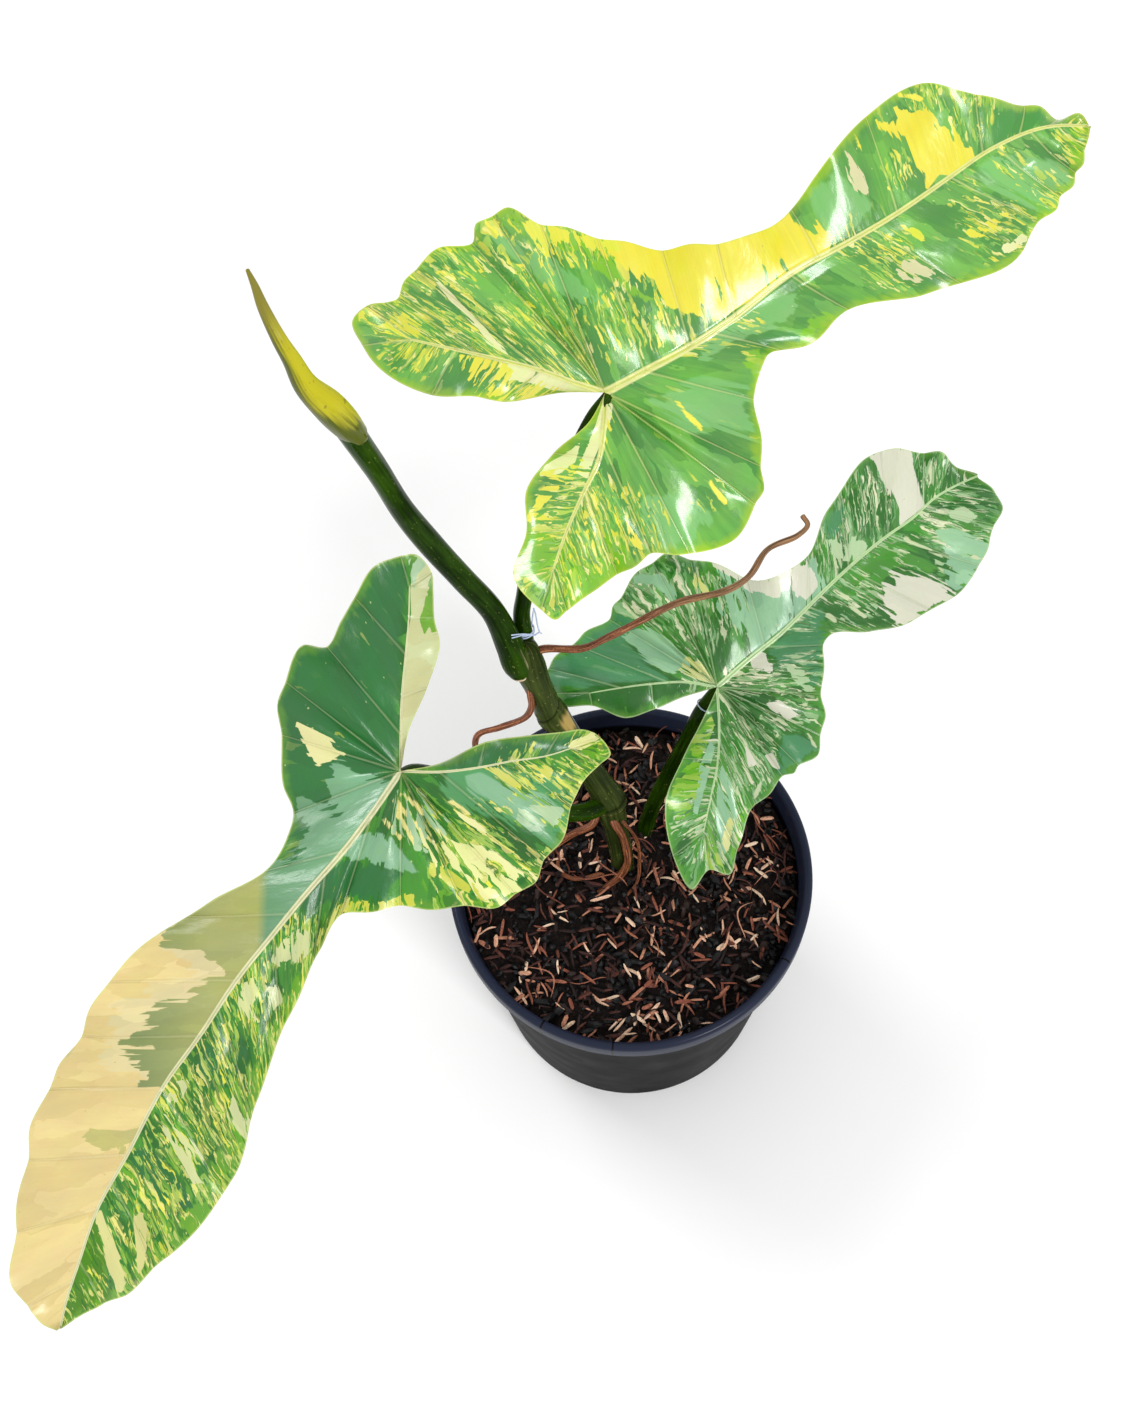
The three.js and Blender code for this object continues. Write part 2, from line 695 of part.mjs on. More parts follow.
addSolid('pot', potSolid(), 'potPlastic');
addSolid('potting_mix', mixSolid([stemSpace, lowerPetioleSpace, ...rootSpaces]), 'pottingMix');
addSolid('stem', limbSolid(STEM, 0, 10), 'stemBark');
addSolid('upper_petiole',
  cut(limbSolid(UPPER_PETIOLE), stemSpace, newestPetioleSpace, bladeSpace(UPPER_LEAF)), 'darkPetiole');
addSolid('front_petiole', cut(limbSolid(FRONT_PETIOLE), stemSpace, bladeSpace(FRONT_LEAF)), 'darkPetiole');
addSolid('lower_petiole', cut(limbSolid(LOWER_PETIOLE), bladeSpace(LOWER_LEAF)), 'darkPetiole');
addSolid('newest_petiole',
  cut(limbSolid(NEWEST_PETIOLE), stemSpace, rolledLeafBase, tieSpace), 'darkPetiole');
addSolid('rolled_leaf', limbSolid(ROLLED_LEAF), 'rolledLeaf');

for (const [name, leaf, look] of [
  ['upper_leaf', UPPER_LEAF, 'yellowLeaf'],
  ['front_leaf', FRONT_LEAF, 'creamLeaf'],
  ['lower_leaf', LOWER_LEAF, 'greyLeaf'],
]) {
  const geometry = bladeGeometry(leaf);
  geometry.computeVertexNormals();
  placeLeaf(addPiece(name, geometry, look), leaf);
}

const rootCuts = [stemSpace, newestPetioleSpace, frontPetioleSpace];
addSolid('long_air_root', cut(limbSolid(LONG_ROOT, 0, 6), ...rootCuts), 'rootBark');
addSolid('hanging_air_root', cut(limbSolid(HANGING_ROOT, 0, 6), ...rootCuts), 'rootBark');
addSolid('side_air_root', cut(limbSolid(SIDE_ROOT, 0, 6), ...rootCuts), 'rootBark');
addSolid('front_air_root', cut(limbSolid(FRONT_ROOT, 0, 6), ...rootCuts), 'rootBark');
addSolid('thin_air_root',
  cut(limbSolid(THIN_ROOT, 0, 6), ...rootCuts, limbSolid(FRONT_ROOT, GAP, 6)), 'rootBark');
addSolid('soil_root', limbSolid(SOIL_ROOT, 0, 6), 'rootBark');
addSolid('wire_tie', tieSolid(), 'tieWire');
addSolid('petiole_ring', wireRing(LOWER_PETIOLE, RING.at, RING.wire, 0).solid, 'tieWire');

export default part;
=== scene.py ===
# The looks of a potted variegated philodendron, built round its CAD model.
# Lists of points are in millimetres, as the plant was measured. MM turns them into metres.
import json
from math import pi, radians, tau

import bmesh
import bpy
import numpy as np
from mathutils import Euler, Matrix, Vector, noise

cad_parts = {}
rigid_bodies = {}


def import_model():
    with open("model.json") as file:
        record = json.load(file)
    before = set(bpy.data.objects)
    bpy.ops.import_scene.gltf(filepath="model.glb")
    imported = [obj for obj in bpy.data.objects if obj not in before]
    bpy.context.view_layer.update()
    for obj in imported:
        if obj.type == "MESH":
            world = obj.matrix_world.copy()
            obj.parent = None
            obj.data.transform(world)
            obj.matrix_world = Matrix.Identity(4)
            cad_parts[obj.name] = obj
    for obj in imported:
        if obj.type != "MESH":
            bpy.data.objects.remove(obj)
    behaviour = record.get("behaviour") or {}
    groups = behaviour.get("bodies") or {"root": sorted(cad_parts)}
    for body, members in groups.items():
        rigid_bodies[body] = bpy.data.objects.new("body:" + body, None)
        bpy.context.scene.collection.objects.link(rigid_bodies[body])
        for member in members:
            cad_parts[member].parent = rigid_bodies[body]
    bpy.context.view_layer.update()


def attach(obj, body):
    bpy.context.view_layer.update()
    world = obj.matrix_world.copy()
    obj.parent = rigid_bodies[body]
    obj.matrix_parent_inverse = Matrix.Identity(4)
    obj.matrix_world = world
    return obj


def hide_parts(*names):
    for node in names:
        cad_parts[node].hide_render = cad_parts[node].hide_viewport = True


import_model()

MM = 0.001
LEFT, RIGHT = 0, 1

# The camera of the photograph, in millimetres and degrees.
CAMERA = {"at": (-29.1, -298.1, 1016.8), "pitch": -64.07, "roll": -5.26, "lens": 41.08, "sensor": 36,
          "nearest": 10}

# The pot and its mix.
POT = {"rim": 100, "height": 185, "base": 83, "shoulder": 95, "rim_depth": 14, "rim_width": 5, "wall": 2,
       "floor": 2.5, "recess": 2, "pad": 24, "foot": 70, "hole": 6, "hole_ring": 52, "holes": 6,
       "fillet": 3, "bevel": 2, "round": 1.2, "lip_round": 1.6, "rim_ease": 1, "rim_under": 0.5,
       "sides": 160, "hole_sides": 32, "sharp": 35, "notches": (236, 259, 323), "notch_half": (0.3, 0.7)}
MIX = {"level": 167, "rise": 1.1, "lumps": ((7, 3.1, 1), (2.6, 8.7, 0.6), (25, 1, 1)),
       "clear_of_wall": 0.4, "clear_of_floor": 0.4, "sides": 150, "across": 47}

# What lies strewn on the mix: pieces to the square metre, sizes, and lifts in metres.
STREW = {
    "charcoal": {"Density": 46000.0, "Seed": 3, "Smallest": 0.6, "Largest": 1.2, "Tilt": 1.5,
                 "Lowest": -0.0012, "Highest": 0.0026},
    "husk": {"Density": 31000.0, "Seed": 11, "Smallest": 0.7, "Largest": 1.35, "Tilt": 0.5,
             "Lowest": 0.0008, "Highest": 0.005},
    "fibre": {"Density": 1100.0, "Seed": 5, "Smallest": 0.7, "Largest": 1.2, "Tilt": 0.3,
              "Lowest": 0.003, "Highest": 0.005},
}
# Shreds: length, width, curl, twist and bend. Crumbs: their three sizes.
HUSK_SHREDS = ((9, 1.3, 0.4, 0.5, 0.3), (7, 1.6, 0.3, -0.4, 0.1), (11, 1.1, 0.8, 0.9, 0.7),
               (6, 1.9, 0.2, 0.2, 0.1), (8.5, 1, 0.6, -0.8, 0.4), (10, 1.4, 0.3, 0.3, 0.2))
FIBRE_SHREDS = ((26, 0.7, 3, 0.6, 4), (20, 0.8, 4, -1.2, 5))
CHARCOAL_CRUMBS = ((7.5, 5.5, 3.4), (5, 4, 3), (9, 4.5, 3.2), (4, 3.2, 2.4))

# The tie round the upper petiole and the ring round the lower one, placed by shares of a limb.
TIE = {"at": 0.16, "lift": 1.3, "wire": 0.36, "spread": 2.8, "clear": 0.95, "knot": 1.6,
       "knot_side": (0.86, -0.5, 0), "steps": 24, "ring_steps": 32,
       "strand": [(-49.4, 61, 351), (-46.6, 62.9, 348.4), (-44.3, 66.6, 342.3)],
       "tails": [[(0, 0, 0), (-1.4, 1, 1), (-0.6, 5, 4), (0.6, 9, 8), (1, 10, 9)],
                 [(1, 10, 9), (1.6, 7, 7), (2, 3, 4), (2.6, 1, 1)],
                 [(0, 0, 0), (2.6, 0.6, 1.4), (3.6, 0.2, 0.8)]],
       "ring_at": 0.8, "ring_clear": 0.6}

# Limbs: [x, y, z, radius] from the root end up.
STEM = [(-2, 6, 112, 6), (-3, 9, 140, 6.4), (-3, 10, 167, 6.4), (-4, 14, 185, 6.5), (-6, 20, 205, 6.8),
        (-8, 24, 220, 8.6), (-9, 26, 228, 9), (-13, 30, 238, 7.4), (-23, 40, 262, 7), (-31, 48, 280, 7.4),
        (-34, 50, 286, 8.4), (-36, 52, 292, 7.2), (-40, 56, 310, 7), (-43, 60, 324, 8), (-44, 64, 334, 6.4)]
UPPER_PETIOLE = [(-43, 66, 322, 4), (-44, 71, 334, 4.4), (-44, 75, 348, 4.1), (-42, 77, 360, 4),
                 (-37, 83, 384, 3.8), (-26, 94, 415, 3.7), (-11, 106, 438, 3.6), (-3, 114, 448, 3.4),
                 (3, 119, 453, 2.8)]
FRONT_PETIOLE = [(-11, 24, 226, 5.4), (-21, 16, 236, 5), (-35, 11, 250, 4.5), (-54, 4, 280, 4.2),
                 (-73, -5, 325, 4), (-86, -14, 368, 3.8), (-95, -20, 389, 3.5), (-100, -25, 397, 2.8)]
LOWER_PETIOLE = [(8, 26, 140, 4.8), (12, 30, 167, 4.8), (14, 33, 176, 4.6), (19, 37, 196, 4.4),
                 (29, 44, 226, 4.2), (36, 47, 252, 4), (42, 50, 274, 3.8), (47, 53, 283, 3.4),
                 (51, 56, 288, 2.8)]
NEWEST_PETIOLE = [(-46, 59, 321.6, 6.4), (-48, 59.5, 327, 7.7), (-51, 64, 338, 7), (-57, 70, 362, 5.8),
                  (-68, 73, 388, 5.7), (-79, 76, 414, 5.8), (-88, 76, 444, 5.3), (-94, 73, 480, 5),
                  (-99, 69, 510, 5.4), (-101, 68, 522, 5.8)]
ROLLED_LEAF = [(-98, 69, 512, 5), (-101, 68, 522, 6.2), (-105, 67, 534, 6.3), (-111, 68, 546, 4.7),
               (-114, 71, 557, 3.5), (-117, 74, 566, 2.8), (-121, 82, 574, 2.1), (-123, 88, 578, 1.4),
               (-125, 93, 581, 0.7)]
AIR_ROOTS = {
    "long_air_root": [(-42, 62, 328, 2), (-36, 64, 331, 2), (-16, 62, 332, 1.8), (-3, 66, 334, 1.8),
                      (13, 71, 338, 1.8), (32, 77, 342, 1.8), (54, 79, 345, 1.7), (66, 84, 348, 1.6),
                      (77, 96, 352, 1.5), (92, 101, 354, 1.4), (97, 105, 356, 1.3), (95, 109, 358, 1.2)],
    "hanging_air_root": [(-44, 58, 316, 1.8), (-44, 50, 311, 1.8), (-44, 47, 303, 1.7), (-48, 46, 294, 1.7),
                         (-61, 46, 285, 1.6), (-72, 46, 280, 1.6), (-75, 44, 272, 1.6), (-73, 40, 255, 1.6),
                         (-72, 35, 225, 1.6), (-70, 31, 195, 1.5), (-68, 28, 160, 1.4)],
    "side_air_root": [(-14, 24, 224, 2), (-18, 16, 218, 2), (-28, 16, 207, 1.9), (-36, 16, 196, 1.8),
                      (-46, 14, 182, 1.8), (-56, 10, 168, 1.7), (-63, 7, 158, 1.6)],
    "front_air_root": [(-9, 24, 224, 2.2), (-7, 16, 218, 2.2), (-3, 12, 208, 2.1), (-1, 7, 196, 2.1),
                       (-1, 4, 184, 2.1), (-5, 1, 175, 2), (-11, -2, 170, 1.9), (-18, -5, 166, 1.8),
                       (-25, -6, 160, 1.6)],
    "thin_air_root": [(-9, 22, 222, 1), (-1, 16, 213, 1), (5, 12, 198, 1), (6, 6, 182, 1),
                      (4, -2, 171, 0.9), (-2, -8, 166, 0.9), (-8, -11, 160, 0.8)],
    "soil_root": [(-13, 4, 160, 1.2), (-16, 5, 168, 1.2), (-20, 4, 169.2, 1.2), (-26, 3, 169.2, 1.2),
                  (-33, 4, 169.2, 1.2), (-39, 10, 169.2, 1.2), (-38, 18, 169, 1.1), (-32, 24, 168, 1.1),
                  (-25, 27, 160, 1)],
}

# Leaves lie in their own frame: x along the midrib, y to its left, z out of the upper face.
# Outlines are the ends of rows that cross half a blade from a rib, tip first.
UPPER_LEAF = {
    "at": (2, 120, 455), "heading": 19, "climb": 13, "bank": 33,
    "length": 244, "droop": 35, "lobe": 110, "lobe_droop": 20, "crown": 0.2, "crown_width": 82,
    "wave": 5, "wave_length": 62, "wave_phase": (0.6, 2.2),
    "midrib": [(244, 2), (234, 7), (226, 10), (217, 12), (206, 13), (193, 13), (175, 11), (147, 8),
               (121, 7), (93, 7), (64, 2), (41, 0), (19, 0), (0, 0)],
    "halves": [
        {"blade": [(244, 2), (242, 9), (233, 11), (227, 20), (215, 26), (199, 37), (178, 51), (153, 51),
                   (120, 37), (94, 28), (70, 33), (49, 42), (27, 59), (8, 75)],
         "fan": [(-2, 87), (-14, 88), (-21, 83)],
         "rib": [(-10, 10), (-20, 21), (-33, 33), (-48, 46), (-63, 59)],
         "outer": [(-34, 86), (-47, 84), (-56, 79), (-64, 77), (-74, 82)],
         "end": [(-82, 78), (-84, 68)],
         "inner": [(-17, 9), (-41, 17), (-50, 25), (-67, 34), (-80, 53)],
         "veins": [2, 3.5, 5, 7, 8.5, 10, 11, 12, 13, 14.5, 16, 18, 19.5, 21, 23, 25, 27]},
        {"blade": [(244, 2), (239, -3), (234, -9), (229, -14), (222, -18), (215, -22), (204, -25),
                   (176, -34), (143, -28), (109, -19), (86, -23), (67, -19), (55, -33), (45, -60)],
         "fan": [(36, -74), (21, -82), (0, -79)],
         "rib": [(-7, -12), (-16, -24), (-28, -33), (-42, -44), (-56, -57)],
         "outer": [(-10, -72), (-20, -71), (-32, -73), (-45, -73), (-59, -76)],
         "end": [(-65, -76), (-69, -70)],
         "inner": [(-13, -8), (-32, -12), (-49, -21), (-59, -37), (-72, -51)],
         "veins": [1.5, 3, 4.5, 6, 7.5, 9, 10.5, 12, 13, 14, 16, 17.5, 19, 21, 23, 25, 27]},
    ],
    "rib_half": (2, 1.5), "rib_tones": ((226, 226, 148), (208, 216, 112)), "edge": (206, 218, 90),
    "vein_show": 0.35,
    "greens": ((78, 146, 62), (114, 178, 78)), "rim": ((150, 194, 44), 4.5, 0.75),
    "streak_tones": ((134, 190, 84), (176, 208, 86), (214, 216, 84), (240, 230, 80), (238, 234, 150)),
    "fragments": ((1.9, 9, 0.42), (1.2, 7, 0.55), (0.8, 4.5, 0.6)), "gloss": 0.45,
    "grounds": {
        "bright": ((124, 188, 44), [
            [(-6, 87), (4, 77), (29, 59), (35, 48), (37, 24), (31, 27), (24, 42), (14, 59), (2, 73),
             (-5, 81)],
            [(-44, 21), (-36, 20), (-20, 17), (-25, 12), (-38, 15)],
            [(89, -16), (95, -13), (102, -15), (101, -19), (87, -21), (67, -13), (59, -12), (58, -32)],
            [(-67, -42), (-51, -32), (-50, -38), (-40, -52), (-22, -58), (-20, -72), (-50, -78),
             (-72, -60)],
            [(238, 8), (244, 2), (236, -10), (226, -12), (232, 0)]]),
        "grey": ((124, 186, 106), [
            [(-12, 85), (-6, 79), (-2, 72), (6, 59), (12, 43), (20, 28), (9, 38), (-3, 53), (-10, 72)],
            [(48, 4), (77, 3), (95, -1), (85, -10), (61, -8), (42, -8)],
            [(116, 35), (132, 33), (138, 16), (129, 11), (116, 12)],
            [(188, 9), (197, 10), (212, 2), (227, -8), (223, -16), (215, -22), (203, -16), (190, -2)],
            [(17, -13), (38, -14), (53, -27), (47, -48), (36, -37), (25, -31)],
            [(-8, -49), (6, -49), (11, -59), (17, -68), (5, -75), (-13, -68), (-12, -59)]]),
        "deep": ((72, 146, 62), [
            [(203, 29), (212, 26), (229, 17), (228, 12), (212, 13), (199, 14), (200, 21)],
            [(67, -11), (75, -11), (85, -18), (81, -22), (71, -19), (64, -20)],
            [(30, 43), (36, 40), (40, 23), (35, 26), (30, 36)]]),
    },
    "patches": {
        # The fourth cream outline, along a vein of the left lobe, is a painted highlight. The second, by
        # the rib of the right lobe, is partly cream and partly painted highlight.
        "cream": ((238, 236, 176), (214, 228, 150), 0.05, [
            [(-33, 31), (-27, 28), (-16, 17), (0, 2), (-1, 0), (-19, 11), (-27, 19), (-34, 24)],
            [(-3, -3), (2, -4), (-3, -11), (-18, -23), (-24, -29), (-27, -24), (-18, -17), (-10, -10)],
            [(-20, -14), (-25, -20), (-33, -21), (-42, -18), (-36, -15), (-28, -15)],
            [(-43, 82), (-39, 70), (-36, 60), (-32, 47), (-29, 32), (-35, 43), (-36, 53), (-41, 66)],
            [(180, -26), (195, -25), (195, -29), (180, -29)]]),
        "blush": ((212, 214, 156), (222, 208, 168), 0.2, [
            [(135, 44), (137, 41), (140, 29), (139, 19), (134, 25), (132, 30)],
            [(141, -11), (145, -13), (147, -17), (152, -20), (150, -24), (138, -20), (131, -16)]]),
        "yellow": ((242, 230, 62), (218, 210, 72), 0.015, [
            [(26, 65), (38, 60), (57, 47), (70, 41), (86, 36), (99, 36), (107, 28), (111, 21), (116, 12),
             (112, 6), (85, 6), (60, 4), (53, 5), (55, 9), (46, 16), (41, 19), (40, 29), (33, 43),
             (29, 50)],
            [(157, 45), (161, 43), (166, 46), (175, 41), (179, 32), (183, 30), (185, 21), (189, 18),
             (189, 13), (176, 11), (171, 14), (162, 10), (166, 17), (164, 27), (160, 38)]]),
        "lemon": ((240, 230, 76), (206, 216, 70), 0.42, [
            [(-21, -20), (-25, -26), (-34, -24), (-44, -20), (-40, -17), (-30, -20)],
            [(-48, 44), (-33, 33), (-30, 26), (-34, 21), (-22, 17), (-14, 9), (-28, 12), (-46, 20),
             (-50, 30)],
            [(-6, 87), (4, 77), (13, 70), (34, 52), (33, 49), (20, 58), (9, 66), (9, 58), (3, 64),
             (-2, 76)],
            [(-70, 70), (-65, 72), (-58, 68), (-56, 63), (-59, 60), (-57, 55), (-64, 60), (-70, 66)],
            [(-14, 76), (-12, 74), (-9, 60), (-7, 54), (-11, 64)],
            [(144, 4), (149, 2), (153, -3), (154, -8), (149, -7)],
            [(168, -13), (189, -13), (196, -15), (181, -18), (171, -17)],
            [(-28, -23), (-41, -28), (-56, -35), (-54, -30), (-42, -23)],
            [(-1, -7), (-3, -13), (-9, -19), (-16, -25), (-7, -12)],
            [(-25, -29), (-24, -35), (-24, -40), (-27, -41), (-27, -34)],
            [(-20, -44), (-19, -47), (-15, -65), (-18, -68), (-21, -62), (-20, -53)],
            [(-36, -47), (-31, -51), (-33, -53), (-37, -52)]]),
    },
    "flecks": [((22, -54), (24, -66)), ((25, -18), (29, -33)), ((143, 47), (145, 34)),
               ((170, 52), (177, 46))],
    "streaks": [(14, 62, 34, 0.5), (-56, 64, 26, 0.55), (-30, 48, 26, 0.5), (-9, 25, 24, 0.5),
                (-34, -46, 26, 0.6), (-62, -60, 18, 0.6), (-16, -56, 18, 0.4), (27, 24, 22, 0.45),
                (44, 6, 14, 0.5), (-8, 70, 22, 0.4), (-40, 76, 16, 0.55), (135, -8, 15, 0.5),
                (182, -16, 17, 0.6), (193, -24, 12, 0.5), (195, 30, 13, 0.4), (178, 3, 10, 0.3),
                (155, 24, 10, 0.5), (124, 8, 12, 0.4), (233, 0, 11, 0.5), (178, 46, 10, 0.4),
                (215, -14, 12, 0.3), (207, 4, 12, 0.3), (-24, 17, 16, 0.5), (-58, 52, 14, 0.6),
                (63, -4, 14, 0.15), (20, -60, 12, 0.2), (-68, 74, 14, 0.6), (46, 46, 14, 0.45)],
    "clearings": [(22, 44, 9), (-22, 62, 10), (8, 46, 10)],
}
FRONT_LEAF = {
    "at": (-99, -24, 400), "heading": -128, "climb": -16, "bank": -19,
    "length": 282, "droop": 42, "lobe": 110, "lobe_droop": 20, "crown": 0.2, "crown_width": 78,
    "wave": 5, "wave_length": 70, "wave_phase": (0.2, 1.7),
    "midrib": [(282, 0), (269, -4), (250, -8), (225, -13), (198, -14), (165, -16), (138, -14), (110, -13),
               (86, -10), (64, -7), (41, -3), (21, -1), (0, 0)],
    "halves": [
        {"blade": [(282, 0), (274, 4), (263, 11), (248, 18), (221, 24), (193, 30), (167, 26), (146, 20),
                   (121, 15), (97, 12), (80, 10), (66, 10), (54, 23)],
         "fan": [(45, 37), (35, 53), (26, 65), (13, 71)],
         "rib": [(-8, 14), (-18, 27), (-28, 38), (-37, 49), (-46, 57)],
         "outer": [(1, 72), (-11, 73), (-24, 71), (-35, 68), (-46, 71)],
         "end": [(-52, 72), (-56, 65)],
         "inner": [(-11, 12), (-29, 24), (-39, 36), (-49, 49), (-55, 57)],
         "veins": [2, 3.5, 5, 6.5, 8, 9.5, 11, 12.5, 14, 15.5, 17, 19, 21, 23, 25, 27]},
        {"blade": [(282, 0), (281, -9), (273, -25), (254, -38), (221, -49), (191, -57), (165, -57),
                   (137, -58), (111, -51), (87, -39), (65, -27), (50, -25), (39, -30)],
         "fan": [(29, -39), (13, -51), (-7, -61), (-23, -62)],
         "rib": [(-13, -8), (-27, -16), (-43, -24), (-57, -31), (-69, -38)],
         "outer": [(-29, -55), (-41, -54), (-53, -56), (-68, -54), (-78, -48)],
         "end": [(-82, -42), (-79, -33)],
         "inner": [(-16, -6), (-36, -9), (-54, -14), (-63, -22), (-72, -28)],
         "veins": [1.5, 3, 4, 5, 6, 7, 8.5, 10, 12, 14, 15, 17, 19, 21, 23, 25, 27]},
    ],
    "rib_half": (1.45, 0.7), "rib_tones": ((224, 220, 174), (194, 198, 152)), "edge": (206, 216, 136),
    "vein_show": 0.16,
    "fragments": ((2, 9, 0.55), (1.2, 7, 0.58), (0.8, 4.5, 0.55)), "gloss": 0.08,
    "greens": ((42, 106, 36), (72, 142, 50)), "rim": ((120, 172, 50), 4, 0.4),
    "streak_tones": ((104, 164, 44), (142, 182, 74), (188, 206, 98), (232, 222, 140), (222, 222, 84)),
    # The meadow patch takes its colours from this ramp along the blade. Its grey-green, up to about a third
    # of the length, is painted shadow on the same olive, and its edge is tilted across the blade, as the
    # shadow's edge lay.
    "shadow_fade": ("meadow", [(0.12, (122, 170, 130)), (0.32, (104, 148, 108)), (0.345, (164, 168, 98)),
                        (0.46, (164, 168, 102)), (0.64, (128, 142, 88))]), "shadow_slant": 1.5,
    "grounds": {
        "bright": ((98, 158, 42), [
            [(-49, 60), (-57, 65), (-53, 71), (-38, 79), (-31, 75), (-35, 65)],
            [(27, 65), (33, 54), (42, 40), (34, 40), (29, 57), (17, 69), (-6, 75), (-16, 74),
             (1, 79), (17, 74)],
            [(95, 6), (121, 9), (146, 12), (170, 17), (196, 20), (222, 16), (245, 12), (262, 8), (262, 16),
             (222, 32), (194, 38), (167, 34), (146, 28), (121, 22), (97, 18)]]),
        "leafy": ((84, 152, 92), [
            [(-12, 16), (2, 20), (4, 30), (-4, 46), (-6, 70), (-22, 74), (-34, 62), (-26, 40)]]),
        # On the front leaf the first deep outline, over the lobe with the pale strip, is painted shade: a
        # darker green than the lobe's own.
        "deep": ((50, 112, 58), [
            [(2, 1), (-25, -17), (-55, -33), (-79, -44), (-84, -50), (-69, -60), (-51, -62), (-36, -60),
             (-24, -70), (-11, -70), (14, -56), (33, -42), (48, -30), (65, -31), (60, -10), (20, -1)],
            [(44, -1), (36, 22), (49, 20), (62, 3), (71, -6), (56, -5)],
            [(124, -9), (150, -9), (156, -2), (150, 8), (134, 6)],
            [(204, -12), (192, -12), (192, -4), (197, 14), (199, 20), (210, 18), (210, 7), (206, -4)],
            [(-11, 13), (-27, 23), (-41, 39), (-52, 57), (-55, 64), (-42, 53), (-23, 35), (-11, 17)]]),
        "grey": ((130, 176, 136), [
            [(35, -2), (29, 2), (27, 9), (28, 17), (32, 29), (34, 27), (38, 10), (43, -2)],
            [(-12, 24), (-17, 29), (-18, 45), (-22, 57), (-20, 65), (-12, 65), (-9, 53), (-8, 41),
             (-8, 29)],
            [(68, -25), (60, -12), (77, -2), (86, -9), (92, -11), (87, -16)]]),
        "moss": ((74, 130, 22), [
            [(226, -14), (236, -5), (242, 2), (250, 6), (258, 12), (270, 6), (282, 2), (284, 0), (276, -8),
             (250, -12)]]),
    },
    "patches": {
        "meadow": ((122, 172, 130), (176, 182, 98), 0, [
            [(2, 1), (9, -4), (7, -24), (12, -30), (18, -24), (23, -19), (28, -14), (31, -21), (32, -30),
             (38, -25), (45, -21), (55, -17), (62, -36), (109, -56), (190, -62), (282, -30), (284, 0),
             (262, -4), (244, -10), (224, -13), (198, -14), (165, -16), (138, -14), (110, -13), (86, -10),
             (64, -7), (41, -3), (21, -1)]]),
        "fringe": ((214, 202, 150), (221, 206, 152), 0, [
            [(108, -49), (110, -46), (107, -39), (105, -32), (106, -29), (109, -23), (111, -19), (113, -20),
             (117, -22), (126, -27), (136, -34), (143, -37), (142, -33), (148, -39), (159, -43), (159, -37),
             (154, -28), (161, -30), (161, -25), (169, -25), (182, -41), (163, -67), (120, -63)]]),
        "cream": ((219, 196, 130), (222, 203, 143), 0, [
            [(105, -50), (111, -45), (113, -41), (112, -35), (116, -32), (119, -33), (128, -44), (134, -40),
             (143, -50), (154, -48), (163, -45), (168, -41), (166, -36), (165, -28), (169, -25), (165, -17),
             (180, -12), (198, -11), (224, -9), (231, -5), (244, -4), (262, 0), (284, 4), (292, -6),
             (289, -17), (280, -34), (256, -50), (221, -62), (189, -67), (163, -66), (137, -67),
             (116, -66)]]),
        "islands": ((190, 182, 116), (184, 178, 110), 0.1, [
            [(202, -34), (195, -33), (189, -20), (184, -15), (192, -15), (201, -23)],
            [(199, -19), (196, -16), (197, -14), (201, -17)]]),
        # The strip is painted a duller cream than the pale patches: painted shade on the same cream.
        "strip": ((204, 202, 142), (194, 204, 158), 0, [
            [(-84, -44), (-68, -37), (-59, -31), (-49, -27), (-36, -20), (-27, -16), (-14, -9), (-1, -1),
             (-5, 3), (-26, -2), (-51, -8), (-66, -18), (-84, -27), (-88, -37)]]),
        "sprout": ((106, 158, 52), (122, 172, 64), 0, [
            [(-84, -33), (-76, -24), (-62, -14), (-57, -19), (-59, -22), (-55, -22), (-59, -27), (-65, -28),
             (-76, -32)]]),
        "mist": ((150, 188, 150), (186, 206, 160), 0.15, [
            [(-12, 51), (-18, 58), (-21, 67), (-16, 68), (-8, 62), (-6, 54)],
            [(-78, -45), (-84, -42), (-84, -36), (-75, -38), (-68, -35)]]),
        "haze": ((140, 182, 140), (176, 202, 156), 0.6, [
            [(11, 2), (4, 7), (2, 27), (6, 34), (17, 26), (24, 28), (25, 20), (21, 10)]]),
        "wedge": ((232, 226, 160), (216, 216, 156), 0, [
            [(4, -49), (3, -41), (3, -33), (6, -23), (12, -26), (18, -31), (13, -39), (9, -45)]]),
        "pale": ((238, 232, 170), (218, 222, 150), 0.24, [
            [(17, 18), (15, 23), (15, 35), (9, 44), (6, 51), (7, 60), (7, 71), (13, 72), (17, 66), (25, 60),
             (27, 53), (26, 46), (25, 35), (21, 24)],
            [(2, 27), (1, 39), (2, 47), (4, 46), (5, 37), (4, 29)],
            [(-45, 53), (-56, 61), (-56, 66), (-46, 60)]]),
        "band": ((222, 212, 140), (200, 204, 134), 0.1, [
            [(229, -12), (224, -12), (231, -4), (236, 3), (240, 9), (247, 14), (256, 14), (247, 6),
             (241, 0), (235, -6)],
            [(219, 1), (217, 5), (225, 12), (235, 16), (242, 17), (232, 11), (224, 4)]]),
        "frost": ((194, 204, 150), (206, 210, 146), 0.3, [
            [(174, -12), (176, -6), (178, 3), (182, 12), (190, 20), (195, 17), (191, 10), (187, 3),
             (182, -6)],
            [(170, -12), (160, -13), (156, -8), (167, -6)],
            [(150, 10), (155, 18), (157, 24), (166, 27), (164, 20), (160, 13)],
            [(96, -5), (86, -6), (79, -2), (78, 4), (83, 6), (90, 5), (95, 0)],
            [(111, -11), (106, -8), (110, -2), (116, -2), (121, 4), (123, 0), (118, -7)],
            [(106, -2), (104, 3), (108, 8), (115, 7), (111, 2)]]),
        "butter": ((216, 214, 116), (190, 196, 72), 0.5, [
